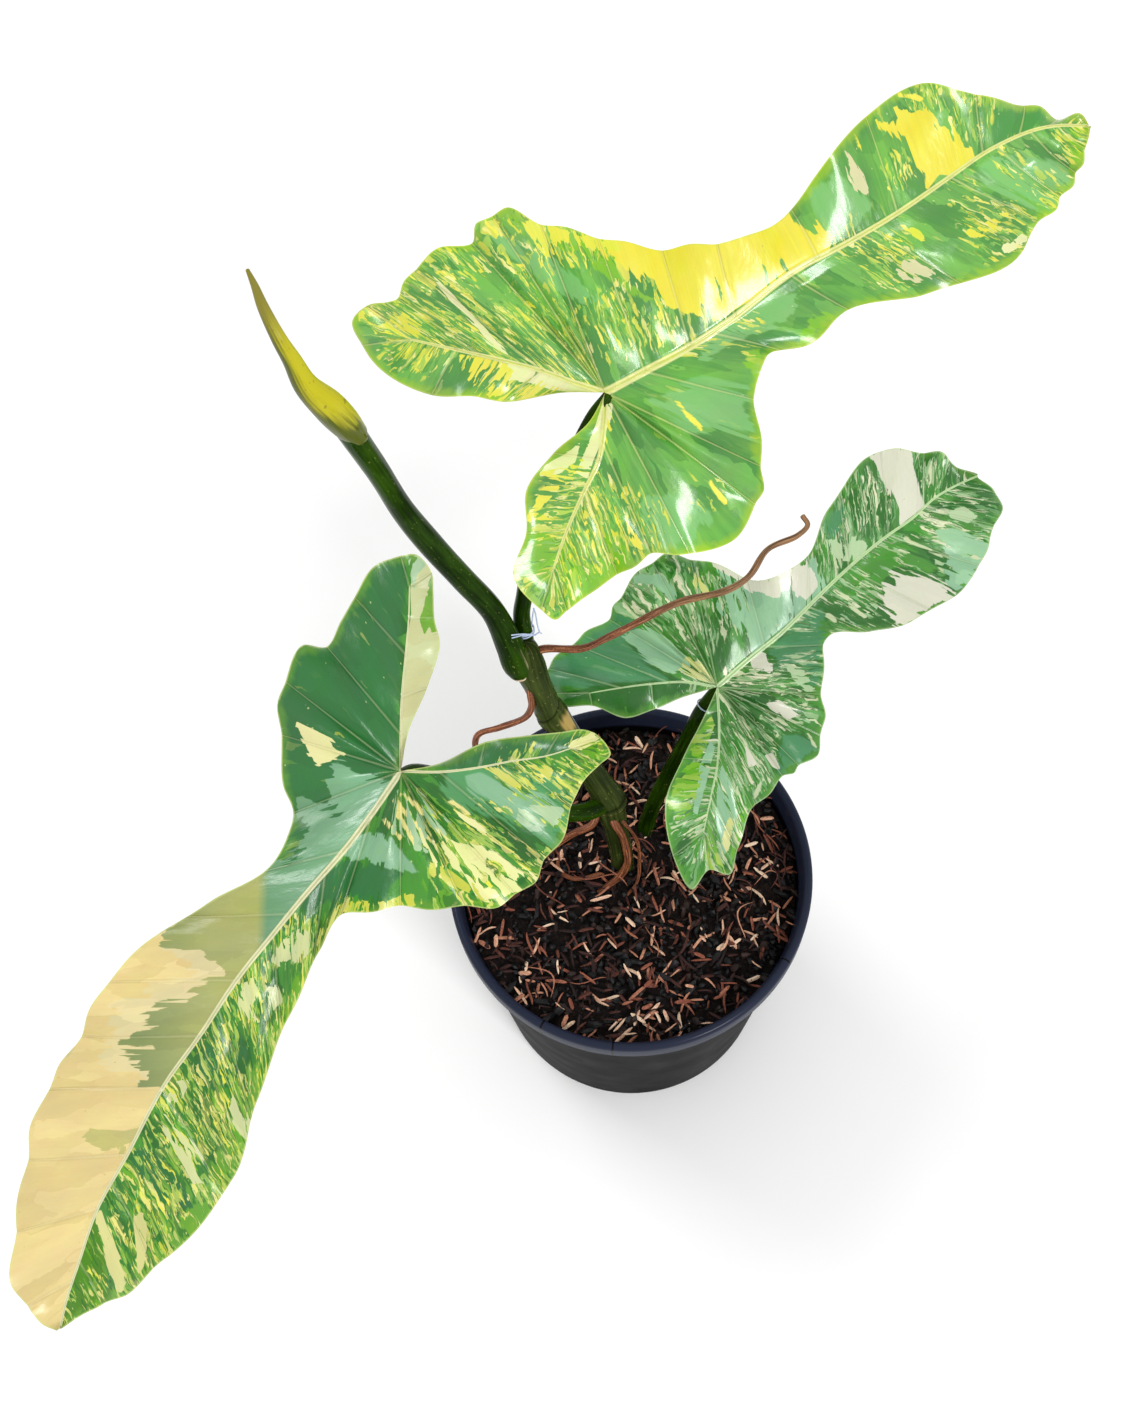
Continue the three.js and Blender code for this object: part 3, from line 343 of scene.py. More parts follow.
            [(64, 6), (57, 12), (52, 22), (40, 32), (42, 38), (54, 27), (66, 15), (79, 12), (80, 8),
             (74, 6)],
            [(26, 24), (26, 32), (24, 37), (25, 50), (25, 62), (28, 57), (30, 49), (30, 42), (31, 33)],
            [(-19, 28), (-28, 41), (-35, 54), (-31, 55), (-23, 52), (-19, 43), (-18, 35)]]),
        "lime": ((132, 176, 60), (164, 190, 90), 0.3, [
            [(12, 30), (5, 28), (4, 32), (5, 37), (4, 46), (6, 51), (7, 54), (9, 52), (9, 43), (12, 38)]]),
    },
    "flecks": [((8, 6), (10, 18)), ((12, 4), (20, 31)), ((0, 24), (1, 34)), ((279, -2), (275, -7)),
               ((16, 8), (23, 22)), ((21, 5), (24, 14))],
    "streaks": [(161, 2, 32, 0.66), (133, 2, 26, 0.5), (201, 6, 28, 0.55), (231, 10, 24, 0.5),
                (150, 20, 12, 0.5), (172, 26, 13, 0.5), (196, 30, 14, 0.55), (220, 24, 14, 0.55),
                (242, 16, 12, 0.5), (90, 8, 14, 0.5),
                (109, 0, 22, 0.42), (82, 2, 14, 0.5), (66, 12, 12, 0.4), (10, 18, 12, 0.25),
                (14, 46, 26, 0.45), (10, 67, 18, 0.45), (34, 50, 14, 0.35), (-37, 69, 16, 0.5),
                (-21, 66, 14, 0.4), (256, 10, 14, 0.45), (269, 1, 12, 0.45), (-52, 64, 12, 0.4),
                (-27, 44, 14, 0.5)],
    "clearings": [(98, 4, 9), (136, 8, 6), (60, -3, 14)],
}
LOWER_LEAF = {
    "at": (50, 55, 290), "heading": 31, "climb": 13, "bank": 19,
    "length": 177, "droop": 22, "lobe": 90, "lobe_droop": 19, "crown": 0.2, "crown_width": 66,
    "wave": 4, "wave_length": 55, "wave_phase": (0.4, 1.9),
    "midrib": [(177, 1), (165, 4), (150, 6), (134, 5), (118, 6), (100, 6), (82, 5), (62, 3), (42, 1),
               (21, 1), (0, 0)],
    "halves": [
        {"blade": [(177, 1), (170, 11), (167, 23), (156, 33), (145, 43), (123, 42), (101, 35), (79, 24),
                   (54, 26), (41, 45), (31, 60)],
         "fan": [(21, 69), (7, 70), (-9, 67), (-21, 62)],
         "rib": [(-11, 12), (-25, 22), (-38, 30), (-52, 38)],
         "outer": [(-36, 63), (-50, 63), (-61, 62), (-66, 59)],
         "end": [(-68, 51), (-67, 42)],
         "inner": [(-17, 7), (-32, 11), (-46, 17), (-55, 32)],
         "veins": [1, 2.5, 4, 5.5, 7, 8.5, 10, 11.5, 13, 14, 15.5, 17, 19, 21, 23]},
        {"blade": [(177, 1), (179, -12), (173, -21), (157, -28), (146, -36), (122, -39), (97, -35),
                   (79, -27), (61, -15), (50, -22), (39, -36)],
         "fan": [(31, -47), (20, -57), (7, -57), (-3, -56)],
         "rib": [(-11, -15), (-23, -29), (-37, -41), (-51, -53)],
         "outer": [(-17, -58), (-31, -62), (-44, -72), (-54, -77)],
         "end": [(-61, -70), (-73, -72)],
         "inner": [(-20, -10), (-36, -17), (-56, -29), (-71, -53)],
         "veins": [1, 2.5, 4, 5.5, 7, 8.5, 10, 11.5, 13, 14, 15.5, 17, 19, 21, 23]},
    ],
    "rib_half": (1.4, 0.8), "rib_tones": ((198, 222, 168), (172, 204, 146)), "edge": (190, 212, 152),
    "vein_show": 0.3,
    "greens": ((40, 104, 34), (72, 138, 54)), "rim": ((108, 172, 60), 4, 0.4),
    "fragments": ((1.7, 12, 0.5), (1.1, 10, 0.6), (0.7, 7, 0.55)), "gloss": 0.3,
    "streak_tones": ((96, 158, 80), (132, 180, 124), (168, 200, 150), (200, 212, 168), (226, 226, 192)),
    "grounds": {
        "teal": ((76, 140, 92), [
            [(-17, 62), (-13, 52), (-20, 48), (-21, 37), (-17, 20), (-18, 18), (-52, 41), (-64, 50),
             (-64, 61), (-43, 64), (-25, 63)],
            [(91, 33), (102, 34), (110, 35), (110, 25), (100, 19), (92, 24), (88, 31)],
            [(31, -2), (59, 1), (68, -2), (58, -12), (46, -27), (39, -34), (38, -19), (29, -11)],
            [(10, -38), (18, -42), (21, -51), (19, -55), (7, -56), (-2, -53), (2, -45)],
            [(-33, -30), (-29, -37), (-40, -47), (-38, -37)]]),
        "grass": ((72, 144, 48), [
            [(86, 5), (112, 5), (123, 2), (122, -7), (129, -27), (121, -24), (112, -11), (98, -11),
             (85, -5)],
            [(-20, -24), (-34, -30), (-60, -50), (-60, -78), (-34, -66), (-14, -56), (-10, -40)]]),
        "deep": ((42, 106, 34), [
            [(82, -16), (93, -17), (94, -27), (87, -33), (79, -28)],
            [(-16, 10), (-40, 20), (-60, 34), (-64, 48), (-40, 34), (-22, 22)],
            [(172, 6), (179, 0), (181, -14), (166, -10), (158, 4), (165, 5)],
            [(106, 12), (128, 10), (126, 30), (112, 36), (108, 24)]]),
        "bright": ((104, 172, 40), [
            [(-57, -30), (-44, -24), (-32, -22), (-29, -25), (-49, -41), (-57, -40)],
            [(-29, -13), (-11, -9), (-13, -14), (-30, -24), (-32, -19)],
            [(-45, -49), (-50, -62), (-55, -77), (-61, -70), (-57, -62)],
            [(-30, -57), (-24, -58), (-37, -67), (-54, -76), (-47, -70)]]),
    },
    "patches": {
        "mint": ((136, 184, 146), (152, 194, 152), 0.08, [
            [(-21, 50), (-9, 45), (-5, 32), (-5, 26), (-3, 20), (-7, 16), (-16, 21), (-20, 36)],
            [(2, 71), (13, 62), (14, 56), (13, 49), (9, 46), (7, 61), (-1, 67)],
            [(39, 44), (38, 37), (25, 31), (27, 16), (24, 2), (61, 3), (76, 5), (80, 20), (61, 25),
             (53, 28), (44, 37)],
            [(140, -9), (146, -14), (154, -29), (151, -35), (134, -39), (126, -38), (125, -31), (136, -22)],
            [(-29, -37), (-23, -32), (-26, -41), (-31, -53), (-38, -61), (-53, -71), (-44, -55),
             (-35, -43)],
            [(-30, -24), (-20, -19), (-20, -23), (-29, -30), (-48, -44), (-49, -41), (-38, -32)]]),
        "pearl": ((186, 206, 160), (170, 202, 156), 0.2, [
            [(90, 23), (96, 21), (97, 15), (103, 17), (107, 9), (102, 6), (94, 7), (88, 14)],
            [(152, -4), (159, -7), (161, -15), (155, -15), (150, -7)],
            [(34, -11), (39, -18), (38, -32), (34, -30), (32, -20)]]),
        "cream": ((222, 220, 152), (206, 214, 130), 0.3, [
            [(-3, 21), (1, 16), (1, 1), (-4, 7), (-11, 19), (-7, 19)],
            [(-37, -55), (-35, -57), (-44, -66), (-53, -71), (-49, -64)],
            [(27, 57), (28, 53), (28, 39), (24, 40), (23, 47)]]),
        "lime": ((178, 204, 88), (124, 180, 60), 0.62, [
            [(-57, -30), (-44, -24), (-32, -22), (-29, -25), (-34, -30), (-49, -41), (-57, -40),
             (-59, -36)],
            [(-29, -13), (-21, -11), (-11, -9), (-13, -14), (-30, -24), (-32, -19)],
            [(-45, -49), (-50, -62), (-55, -77), (-61, -70), (-57, -62), (-52, -55)]]),
        "white": ((222, 221, 202), (212, 212, 190), 0.03, [
            [(138, 43), (151, 42), (156, 37), (155, 29), (151, 19), (143, 6), (126, 6), (130, 13),
             (134, 26), (137, 37)],
            [(37, 53), (42, 46), (45, 38), (49, 31), (58, 21), (53, 15), (44, 27), (40, 40)],
            [(52, 28), (62, 25), (75, 21), (75, 14), (73, 8), (63, 6), (60, 14), (48, 24)],
            [(110, -9), (113, -14), (121, -24), (127, -37), (123, -38), (97, -36), (89, -32), (94, -27),
             (93, -20), (94, -15), (99, -11), (104, -15), (106, -11)],
            [(22, 1), (28, 1), (30, -2), (28, -9), (25, -13), (20, -3)],
            [(13, -21), (20, -25), (24, -38), (17, -35), (14, -27)],
            [(-8, -32), (-8, -37), (-9, -42), (-13, -41)], [(-4, -42), (0, -43), (-2, -51), (-4, -47)]]),
    },
    "flecks": [((78, 0), (81, -6)), ((79, -9), (81, -19)), ((67, -7), (68, -11)), ((21, -46), (20, -54)),
               ((124, -1), (133, -19)), ((139, 27), (137, 15)), ((-12, -50), (-20, -55))],
    "streaks": [(6, 56, 24, 0.6), (18, 34, 24, 0.55), (40, 24, 20, 0.35), (72, 16, 18, 0.3),
                (104, 22, 24, 0.5), (122, 26, 18, 0.5), (160, 22, 22, 0.55), (152, -12, 26, 0.55),
                (120, -14, 20, 0.25), (84, -10, 18, 0.35), (74, -20, 14, 0.4), (54, 3, 14, 0.35),
                (16, -22, 30, 0.55), (38, -22, 16, 0.3), (-14, -34, 24, 0.5), (-44, -48, 22, 0.45),
                (-33, -62, 16, 0.45), (-60, -66, 16, 0.5), (-6, 10, 10, 0.4), (20, 66, 16, 0.5)],
    "clearings": [(126, -14, 8), (100, 30, 7), (10, -46, 10), (-36, 26, 14)],
}
LEAVES = {"upper_leaf": UPPER_LEAF, "front_leaf": FRONT_LEAF, "lower_leaf": LOWER_LEAF}

# A blade: rows for each stop of its outline, columns near the rib and across, and its reliefs.
# A pair named over holds the distances where a form starts to show and where it is full.
BLADE = {"rows": 12, "near": (0, 0.5, 1, 1.6, 2.3, 3), "near_full": 14, "across": 24, "halves_apart": 900,
         "thick": 0.9, "edge_thick": 0.5, "edge_over": (0, 5), "keel": 2.2, "keel_half": 2.3,
         "rib_narrows": 0.65, "ridge": 0.7, "groove": 0.45, "groove_half": 0.3,
         "vein_half": (0.65, 0.3), "vein_below": 0.3, "vein_below_half": 0.9,
         "puff": 3, "puff_over": (0, 26), "crease": 1, "crease_half": 1.5,
         "swell": 0.9, "swell_over": (0, 20), "swell_waves": (19, 31, 14),
         "scallop": 1.8, "scallop_over": (10, 30), "ruffle": 0.7, "ruffle_waves": (3.7, 11), "bold": 13}

# Patterns on a blade. Waves: how many to the millimetre across and along the veins, detail, roughness.
WAVES = {"slow": ((0.05, 0.03, 1), 3, 0.5), "teeth": ((0.3, 0.05, 1), 4, 0.6),
         "lines": ((0.9, 0.03, 1), 2, 0.5), "wander": ((0.12, 0.09, 1), 2, 0.5),
         "pucker": ((0.12, 0.06, 1), 1, 0.5), "crinkle": ((0.5, 0.25, 1), 3, 0.5)}
CELLS = {"steps": (0.3, 0.014, 1), "wash": (0.12, 0.045, 1), "slits": (0.65, 0.09, 1),
         "dots": (0.25, 0.16, 1), "slivers": (1 / 0.7, 1 / 8, 1)}
# How far, in millimetres, the patterns push the edges of the colours about.
RAGGED = {"step": 7, "tooth": 7, "over": (0, 14), "rim": 6, "fleck": 5, "shadow_fade": 3,
          "bend": 5, "bend_along": 16}

# The ends of a limb: shares of its last ring, and how far each lies past it, in radii.
CAP = ((0.9, 0.25), (0.66, 0.45), (0.35, 0.56), (0, 0.6))
# Patterns on limbs are laid out on a straight cylinder of this radius.
GRAIN_RADIUS = 6

# Skins of stem and petioles: two greens, the colour of scars, and the share of fine lines.
SKINS = {"stem_skin": ((32, 42, 14), (70, 82, 36), (172, 146, 84), 0.45),
         "petiole_skin": ((15, 34, 1), (44, 74, 8), (232, 206, 176), 0.3)}

# Other colours, as a screen shows them, and ramps of them.
PAINT = {
    "leaf_dot": (206, 222, 150), "patch_dot": (176, 176, 84), "leaf_below": (140, 168, 104),
    "skin_groove": (22, 26, 8), "skin_speck": (150, 156, 84),
    "new_leaf": (184, 176, 14), "new_leaf_olive": (80, 88, 8), "new_leaf_spot": (110, 92, 30),
    "new_leaf_tip": (130, 122, 44),
    # The pot's rim colour is painted sheen: the same black plastic as the wall, painted lighter and bluer.
    "pot_wall": (7, 7, 8), "pot_dust": (36, 36, 38), "pot_rim_sheen": (34, 39, 57), "pot_notch": (6, 6, 8),
    "tie_shade": (178, 196, 232), "tie_light": (226, 234, 248), "floor": (250, 250, 250),
}
RAMPS = {
    "root": [(0.34, (54, 28, 16)), (0.5, (120, 66, 40)), (0.64, (188, 124, 84))],
    "pale_root": [(0.35, (70, 50, 30)), (0.6, (164, 132, 92))],
    "earth": [(0.35, (8, 7, 8)), (0.55, (26, 19, 17)), (0.7, (58, 36, 28))],
    "husk": [(0.0, (26, 14, 14)), (0.36, (70, 36, 30)), (0.62, (140, 78, 58)), (0.82, (206, 146, 116)),
             (1.0, (244, 214, 186))],
    "charcoal": [(0.0, (10, 10, 12)), (0.7, (24, 22, 24)), (1.0, (52, 34, 28))],
}

# The studio, in metres and watts: the floor, the world's strength, and the lamps.
STUDIO = {"floor_half": 6, "world": 0.78, "aim": (0, 0, 0.3),
          "lamps": {"key": ((2.9, -4.5, 4.6), 1.6, 210), "fill": ((-2.5, 2.5, 5), 2, 85)}}


def srgb(red, green, blue):
    """A colour as a screen shows it, 0 to 255, in linear values with alpha."""
    parts = [value / 255 for value in (red, green, blue)]
    return (*[part / 12.92 if part <= 0.04045 else ((part + 0.055) / 1.055) ** 2.4 for part in parts], 1)


class Socket:
    """A node's output. Arithmetic on it adds Math nodes."""

    def __init__(self, tree, link):
        self.tree = tree
        self.link = link

    def other(self, name):
        return Socket(self.tree, self.link.node.outputs[name])

    def math(self, operation, *others):
        return self.tree.math(operation, self, *others)

    def __add__(self, other):
        return self.math("ADD", other)

    def __sub__(self, other):
        return self.math("SUBTRACT", other)

    def __rsub__(self, other):
        return self.tree.math("SUBTRACT", other, self)

    def __mul__(self, other):
        return self.math("MULTIPLY", other)

    __radd__ = __add__
    __rmul__ = __mul__

    def __abs__(self):
        return self.math("ABSOLUTE")

    def step(self, low, high):
        """Rises smoothly from 0 at low to 1 at high."""
        return self.tree.node("ShaderNodeMapRange", {"interpolation_type": "SMOOTHSTEP"},
                              {0: self, 1: low, 2: high})

    def most(self, other):
        return self.math("MAXIMUM", other)


class Tree:
    """A node tree that is built by calls of node()."""

    def __init__(self, tree):
        self.tree = tree

    def node(self, kind, settings=None, inputs=None):
        """Adds a node, sets it, fills or links its inputs, and gives its first output."""
        made = self.tree.nodes.new(kind)
        for name, value in (settings or {}).items():
            if name == "stops":
                self.set_ramp(made.color_ramp, value)
            else:
                setattr(made, name, value)
        for name, value in (inputs or {}).items():
            if isinstance(value, Socket):
                self.tree.links.new(value.link, made.inputs[name])
            else:
                made.inputs[name].default_value = value
        return Socket(self, next(out for out in made.outputs if out.enabled)) if made.outputs else None

    @staticmethod
    def set_ramp(ramp, stops):
        while len(ramp.elements) < len(stops):
            ramp.elements.new(1)
        for element, (place, colour) in zip(ramp.elements, stops):
            element.position = place
            element.color = srgb(*colour)

    def math(self, operation, *values):
        return self.node("ShaderNodeMath", {"operation": operation}, dict(enumerate(values)))

    def vector(self, x, y, z):
        return self.node("ShaderNodeCombineXYZ", None, {0: x, 1: y, 2: z})


class Shader(Tree):
    """A material with one Principled BSDF, and short names for the nodes that it uses most."""

    def __init__(self, name):
        self.material = bpy.data.materials.new(name)
        self.material.use_nodes = True
        super().__init__(self.material.node_tree)
        self.tree.nodes.clear()

    def attribute(self, name, output="Fac"):
        return self.node("ShaderNodeAttribute", {"attribute_name": name}).other(output)

    def uv(self, name):
        return self.node("ShaderNodeUVMap", {"uv_map": name})

    def place(self):
        return self.node("ShaderNodeTexCoord").other("Object")

    def parts(self, vector):
        """The x, y and z of a vector."""
        split = self.node("ShaderNodeSeparateXYZ", None, {0: vector})
        return split, split.other("Y"), split.other("Z")

    def scaled(self, vector, scale):
        """A vector times one number, or times one for each axis."""
        scale = scale if isinstance(scale, tuple) else (scale,) * 3
        return self.node("ShaderNodeVectorMath", {"operation": "MULTIPLY"}, {0: vector, 1: scale})

    def shifted(self, vector, other):
        return self.node("ShaderNodeVectorMath", {"operation": "ADD"}, {0: vector, 1: other})

    def noise(self, vector, scale, detail=2, roughness=0.5):
        return self.node("ShaderNodeTexNoise", None, {
            "Vector": self.scaled(vector, scale), "Scale": 1, "Detail": detail, "Roughness": roughness})

    def cells(self, vector, scale):
        """Random cells: the distance to each one's middle, and a random colour as Color."""
        return self.node("ShaderNodeTexVoronoi", None, {"Vector": self.scaled(vector, scale), "Scale": 1})

    def channels(self, colour):
        return self.node("ShaderNodeSeparateColor", None, {0: colour})

    def random_cells(self, vector, scale):
        """A random number for each cell, with two more as Green and Blue."""
        return self.channels(self.cells(vector, scale).other("Color"))

    def mix(self, factor, first, second):
        """A blend of two colours, each a socket or as a screen shows it."""
        first, second = (tone if isinstance(tone, Socket) else srgb(*tone) for tone in (first, second))
        return self.node("ShaderNodeMix", {"data_type": "RGBA"}, {0: factor, 6: first, 7: second})

    def ramp(self, factor, stops):
        return self.node("ShaderNodeValToRGB", {"stops": stops}, {0: factor})

    def bump(self, height, strength=1.0):
        """A normal from a height in millimetres."""
        return self.node("ShaderNodeBump", None, {"Height": height, "Strength": strength, "Distance": MM})

    def finish(self, **inputs):
        named = {name.replace("_", " "): value for name, value in inputs.items()}
        surface = self.node("ShaderNodeBsdfPrincipled", None, named)
        self.node("ShaderNodeOutputMaterial", None, {"Surface": surface})
        return self.material


def add_object(mesh, *materials):
    """Puts a mesh into the scene, as an object of the mesh's name."""
    for material in materials:
        mesh.materials.append(material)
    made = bpy.data.objects.new(mesh.name, mesh)
    bpy.context.scene.collection.objects.link(made)
    return made


def piece(mesh, slot, *materials, replaces=()):
    """Adds a finished piece of the plant to the frame."""
    made = add_object(mesh, *materials)
    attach(made, "root")
    if replaces:
        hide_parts(*replaces)


def grid_faces(rows, columns, start=0, closed=False):
    """Quads between the points of a grid that are counted row by row."""
    quads = columns if closed else columns - 1
    row, column = (part.ravel() for part in np.meshgrid(range(rows - 1), range(quads), indexing="ij"))
    after = (column + 1) % columns
    corners = (row * columns + column, row * columns + after,
               (row + 1) * columns + after, (row + 1) * columns + column)
    return start + np.stack(corners, 1)


def plain_mesh(name, points, faces, attributes=None, uv=None, smooth=40):
    """A closed mesh in metres from points in millimetres, its doubles merged, faces outwards."""
    mesh = bpy.data.meshes.new(name)
    mesh.from_pydata((np.asarray(points) * MM).tolist(), [], np.asarray(faces).tolist())
    for key, values in (attributes or {}).items():
        values = np.asarray(values, np.float32)
        kind, field = ("FLOAT", "value") if values.ndim == 1 else ("FLOAT_VECTOR", "vector")
        mesh.attributes.new(key, kind, "POINT").data.foreach_set(field, values.ravel())
    if uv:
        key, values = uv
        corners = np.empty(len(mesh.loops), int)
        mesh.loops.foreach_get("vertex_index", corners)
        mesh.uv_layers.new(name=key).data.foreach_set("uv", np.asarray(values)[corners].ravel())
    work = bmesh.new()
    work.from_mesh(mesh)
    bmesh.ops.remove_doubles(work, verts=work.verts, dist=2e-6)
    bmesh.ops.recalc_face_normals(work, faces=work.faces)
    work.to_mesh(mesh)
    work.free()
    mesh.shade_smooth()
    mesh.set_sharp_from_angle(angle=radians(smooth))
    return mesh


def curve_points(stops, places):
    """Points on the smooth centripetal curve through stops. A place counts stops from the first."""
    stops = np.asarray(stops, float)
    ends = np.vstack([2 * stops[0] - stops[1], stops, 2 * stops[-1] - stops[-2]])
    places = np.asarray(places, float)
    span = np.clip(np.floor(places).astype(int), 0, len(stops) - 2)
    part = (places - span)[:, None]
    four = [ends[span + step] for step in range(4)]
    gaps = [np.linalg.norm(four[i + 1][:, :3] - four[i][:, :3], axis=1)[:, None] ** 0.5 for i in range(3)]
    gaps[1] = np.where(gaps[1] < 1e-4, 1, gaps[1])
    gaps[0] = np.where(gaps[0] < 1e-4, gaps[1], gaps[0])
    gaps[2] = np.where(gaps[2] < 1e-4, gaps[1], gaps[2])
    before, start, end, after = four
    leave = (start - before) / gaps[0] - (end - before) / (gaps[0] + gaps[1]) + (end - start) / gaps[1]
    reach = (end - start) / gaps[1] - (after - start) / (gaps[1] + gaps[2]) + (after - end) / gaps[2]
    leave, reach = leave * gaps[1], reach * gaps[1]
    return (start + leave * part + (3 * (end - start) - 2 * leave - reach) * part ** 2
            + (2 * (start - end) + leave + reach) * part ** 3)


def spans(points):
    """The distance from each point of a path to the next."""
    return np.linalg.norm(np.diff(points, axis=0), axis=1)


def length_so_far(gaps):
    return np.concatenate([[0], np.cumsum(gaps)])


def segment_gap(points, start, end):
    """Distance of each point from a straight segment."""
    start, along = np.asarray(start, float), np.subtract(end, start).astype(float)
    share = np.clip((points - start) @ along / max(along @ along, 1e-9), 0, 1)
    return np.linalg.norm(points - start - share[:, None] * along, axis=1)


def path_gap(points, path):
    return np.min([segment_gap(points, start, end) for start, end in zip(path, path[1:])], axis=0)


def depth_inside(points, outline):
    """Distance of each point from an outline, negative outside it."""
    inside = np.zeros(len(points), bool)
    closed = [*outline, outline[0]]
    for (x0, y0), (x1, y1) in zip(closed, closed[1:]):
        if y0 != y1:
            crossing = x0 + (x1 - x0) * (points[:, 1] - y0) / (y1 - y0)
            inside ^= ((y0 > points[:, 1]) != (y1 > points[:, 1])) & (points[:, 0] < crossing)
    gap = path_gap(points, closed)
    return np.where(inside, gap, -gap)


def blade_rows(leaf, half):
    """Rows across half a blade: their places along the outline, roots, ends, and the ribs' reach."""
    ends = half["blade"] + half["fan"] + half["outer"] + half["end"] + half["inner"][::-1] + [(0, 0)]
    ribs, last = len(half["rib"]), len(leaf["midrib"]) - 1
    on_rib = ([0] * (1 + len(half["fan"])) + list(range(1, ribs + 1)) + [ribs] * len(half["end"])
              + list(range(ribs, 0, -1)) + [0])
    places = np.linspace(0, len(ends) - 1, (len(ends) - 1) * BLADE["rows"] + 1)
    on_midrib = places <= last
    along_rib = np.interp(places - last, range(len(on_rib)), on_rib)
    root = np.where(on_midrib[:, None], curve_points(leaf["midrib"], np.minimum(places, last)),
                    curve_points([(0, 0), *half["rib"]], along_rib))
    reach = np.where(on_midrib, leaf["length"], np.linalg.norm(half["rib"][-1]))
    return places, root, curve_points(ends, places), reach, on_midrib


def blade_height(leaf, x, y, across, side):
    """The height of a leaf's upper face without its fine reliefs, as in the CAD model."""
    arch = np.where(x > 0, -leaf["droop"] * (x / leaf["length"]) ** 2,
                    -leaf["lobe_droop"] * (x / leaf["lobe"]) ** 2)
    crown = leaf["crown"] * np.abs(y) * (1 - np.abs(y) / leaf["crown_width"])
    phase = np.where(side == LEFT, *leaf["wave_phase"])
    return arch + crown + leaf["wave"] * across ** 2 * np.sin(tau * x / leaf["wave_length"] + phase)


def half_blade(leaf, side):
    """The points of half a blade's upper face in rows, with what its relief and paint need."""
    half = leaf["halves"][side]
    places, root, end, reach, on_midrib = blade_rows(leaf, half)
    number = np.interp(places, half["veins"], range(len(half["veins"])))
    length = np.linalg.norm(end - root, axis=1)
    bulge = (np.sin(pi * number) ** 2 - 0.5) * np.interp(length, BLADE["scallop_over"], (0, 1))
    bulge = BLADE["scallop"] * bulge
    end = end + (end - root) / np.maximum(length, 1e-6)[:, None] * bulge[:, None]
    length = length + bulge
    near = np.array(BLADE["near"]) * np.minimum(1, length / BLADE["near_full"])[:, None]
    far = np.linspace(0, 1, BLADE["across"] + 1)[1:] * (length[:, None] - near[:, -1:]) + near[:, -1:]
    out = np.hstack([near, far])
    across = out / np.maximum(length, 1e-6)[:, None]
    points = (root[:, None] + (end - root)[:, None] * across[..., None]).reshape(-1, 2)
    walked = length_so_far(0.5 * (spans(root) + spans(end))) + BLADE["halves_apart"] * side
    narrowed = 1 - BLADE["rib_narrows"] * np.linalg.norm(root, axis=1) / reach
    rib = curve_points([(0, 0), *half["rib"]], np.linspace(0, len(half["rib"]), 20))
    vein_rows = [np.argmin(np.abs(places - vein)) for vein in half["veins"]]
    by_row = {"walked": walked, "number": number,
              "rib_half": np.where(on_midrib, *leaf["rib_half"]) * narrowed}
    part = {key: np.repeat(values, out.shape[1]) for key, values in by_row.items()}
    part.update(
        flat=points, across=across.ravel(), out=out.ravel(), side=np.full(out.size, side),
        vein=np.min([segment_gap(points, root[row], end[row]) for row in vein_rows], axis=0),
        rib=path_gap(points, rib), margin=path_gap(points, end[::4]))
    return part, out.shape


def blade_relief(part, x, y):
    """The fine relief of the upper face: ribs, creases at the side veins, and the swells between."""
    rib = part["rib"] / part["rib_half"]
    groove = BLADE["groove"] * np.exp(-(rib / BLADE["groove_half"]) ** 2)
    ridge = (BLADE["ridge"] * np.clip(1 - rib ** 2, 0, 1) - groove) * np.minimum(1, part["rib_half"])
    away = np.interp(part["out"], BLADE["puff_over"], (0, 1))
    puff = BLADE["puff"] * np.sin(pi * part["number"]) ** 2 * away * (1 - 0.5 * part["across"])
    crease = BLADE["crease"] * np.exp(-(part["vein"] / BLADE["crease_half"]) ** 2) * away
    ahead, aslant, aside = BLADE["swell_waves"]
    swell = BLADE["swell"] * np.sin(x / ahead + y / aslant) * np.cos(y / aside)
    swell = swell * np.interp(part["out"], BLADE["swell_over"], (0, 1))
    short, long = BLADE["ruffle_waves"]
    ruffle = BLADE["ruffle"] * np.sin(part["walked"] / short + np.sin(part["walked"] / long))
    return ridge + puff - crease + swell + ruffle * part["across"] ** 3


def under_face(part, upper):
    """The height of the lower face: the blade's thickness, its keeled ribs and its side veins."""
    thick = np.interp(part["margin"], BLADE["edge_over"], (BLADE["edge_thick"], BLADE["thick"]))
    keel = BLADE["keel"] * np.sqrt(np.clip(1 - (part["rib"] / BLADE["keel_half"]) ** 2, 0, 1))
    vein = BLADE["vein_below"] * np.clip(1 - part["vein"] / BLADE["vein_below_half"], 0, 1)
    return upper - thick - keel * np.minimum(1, part["rib_half"]) - vein


def blade_faces(shapes, count):
    """Faces of the upper side, the lower side and the margin between them, half by half."""
    start, faces = 0, []
    for rows, columns in shapes:
        grid = grid_faces(rows, columns, start)
        margin = start + np.arange(rows) * columns + columns - 1
        strip = np.stack([margin[:-1], margin[1:], margin[1:] + count, margin[:-1] + count], 1)
        faces += [grid, grid[:, ::-1] + count, strip]
        start += rows * columns
    return np.vstack(faces)


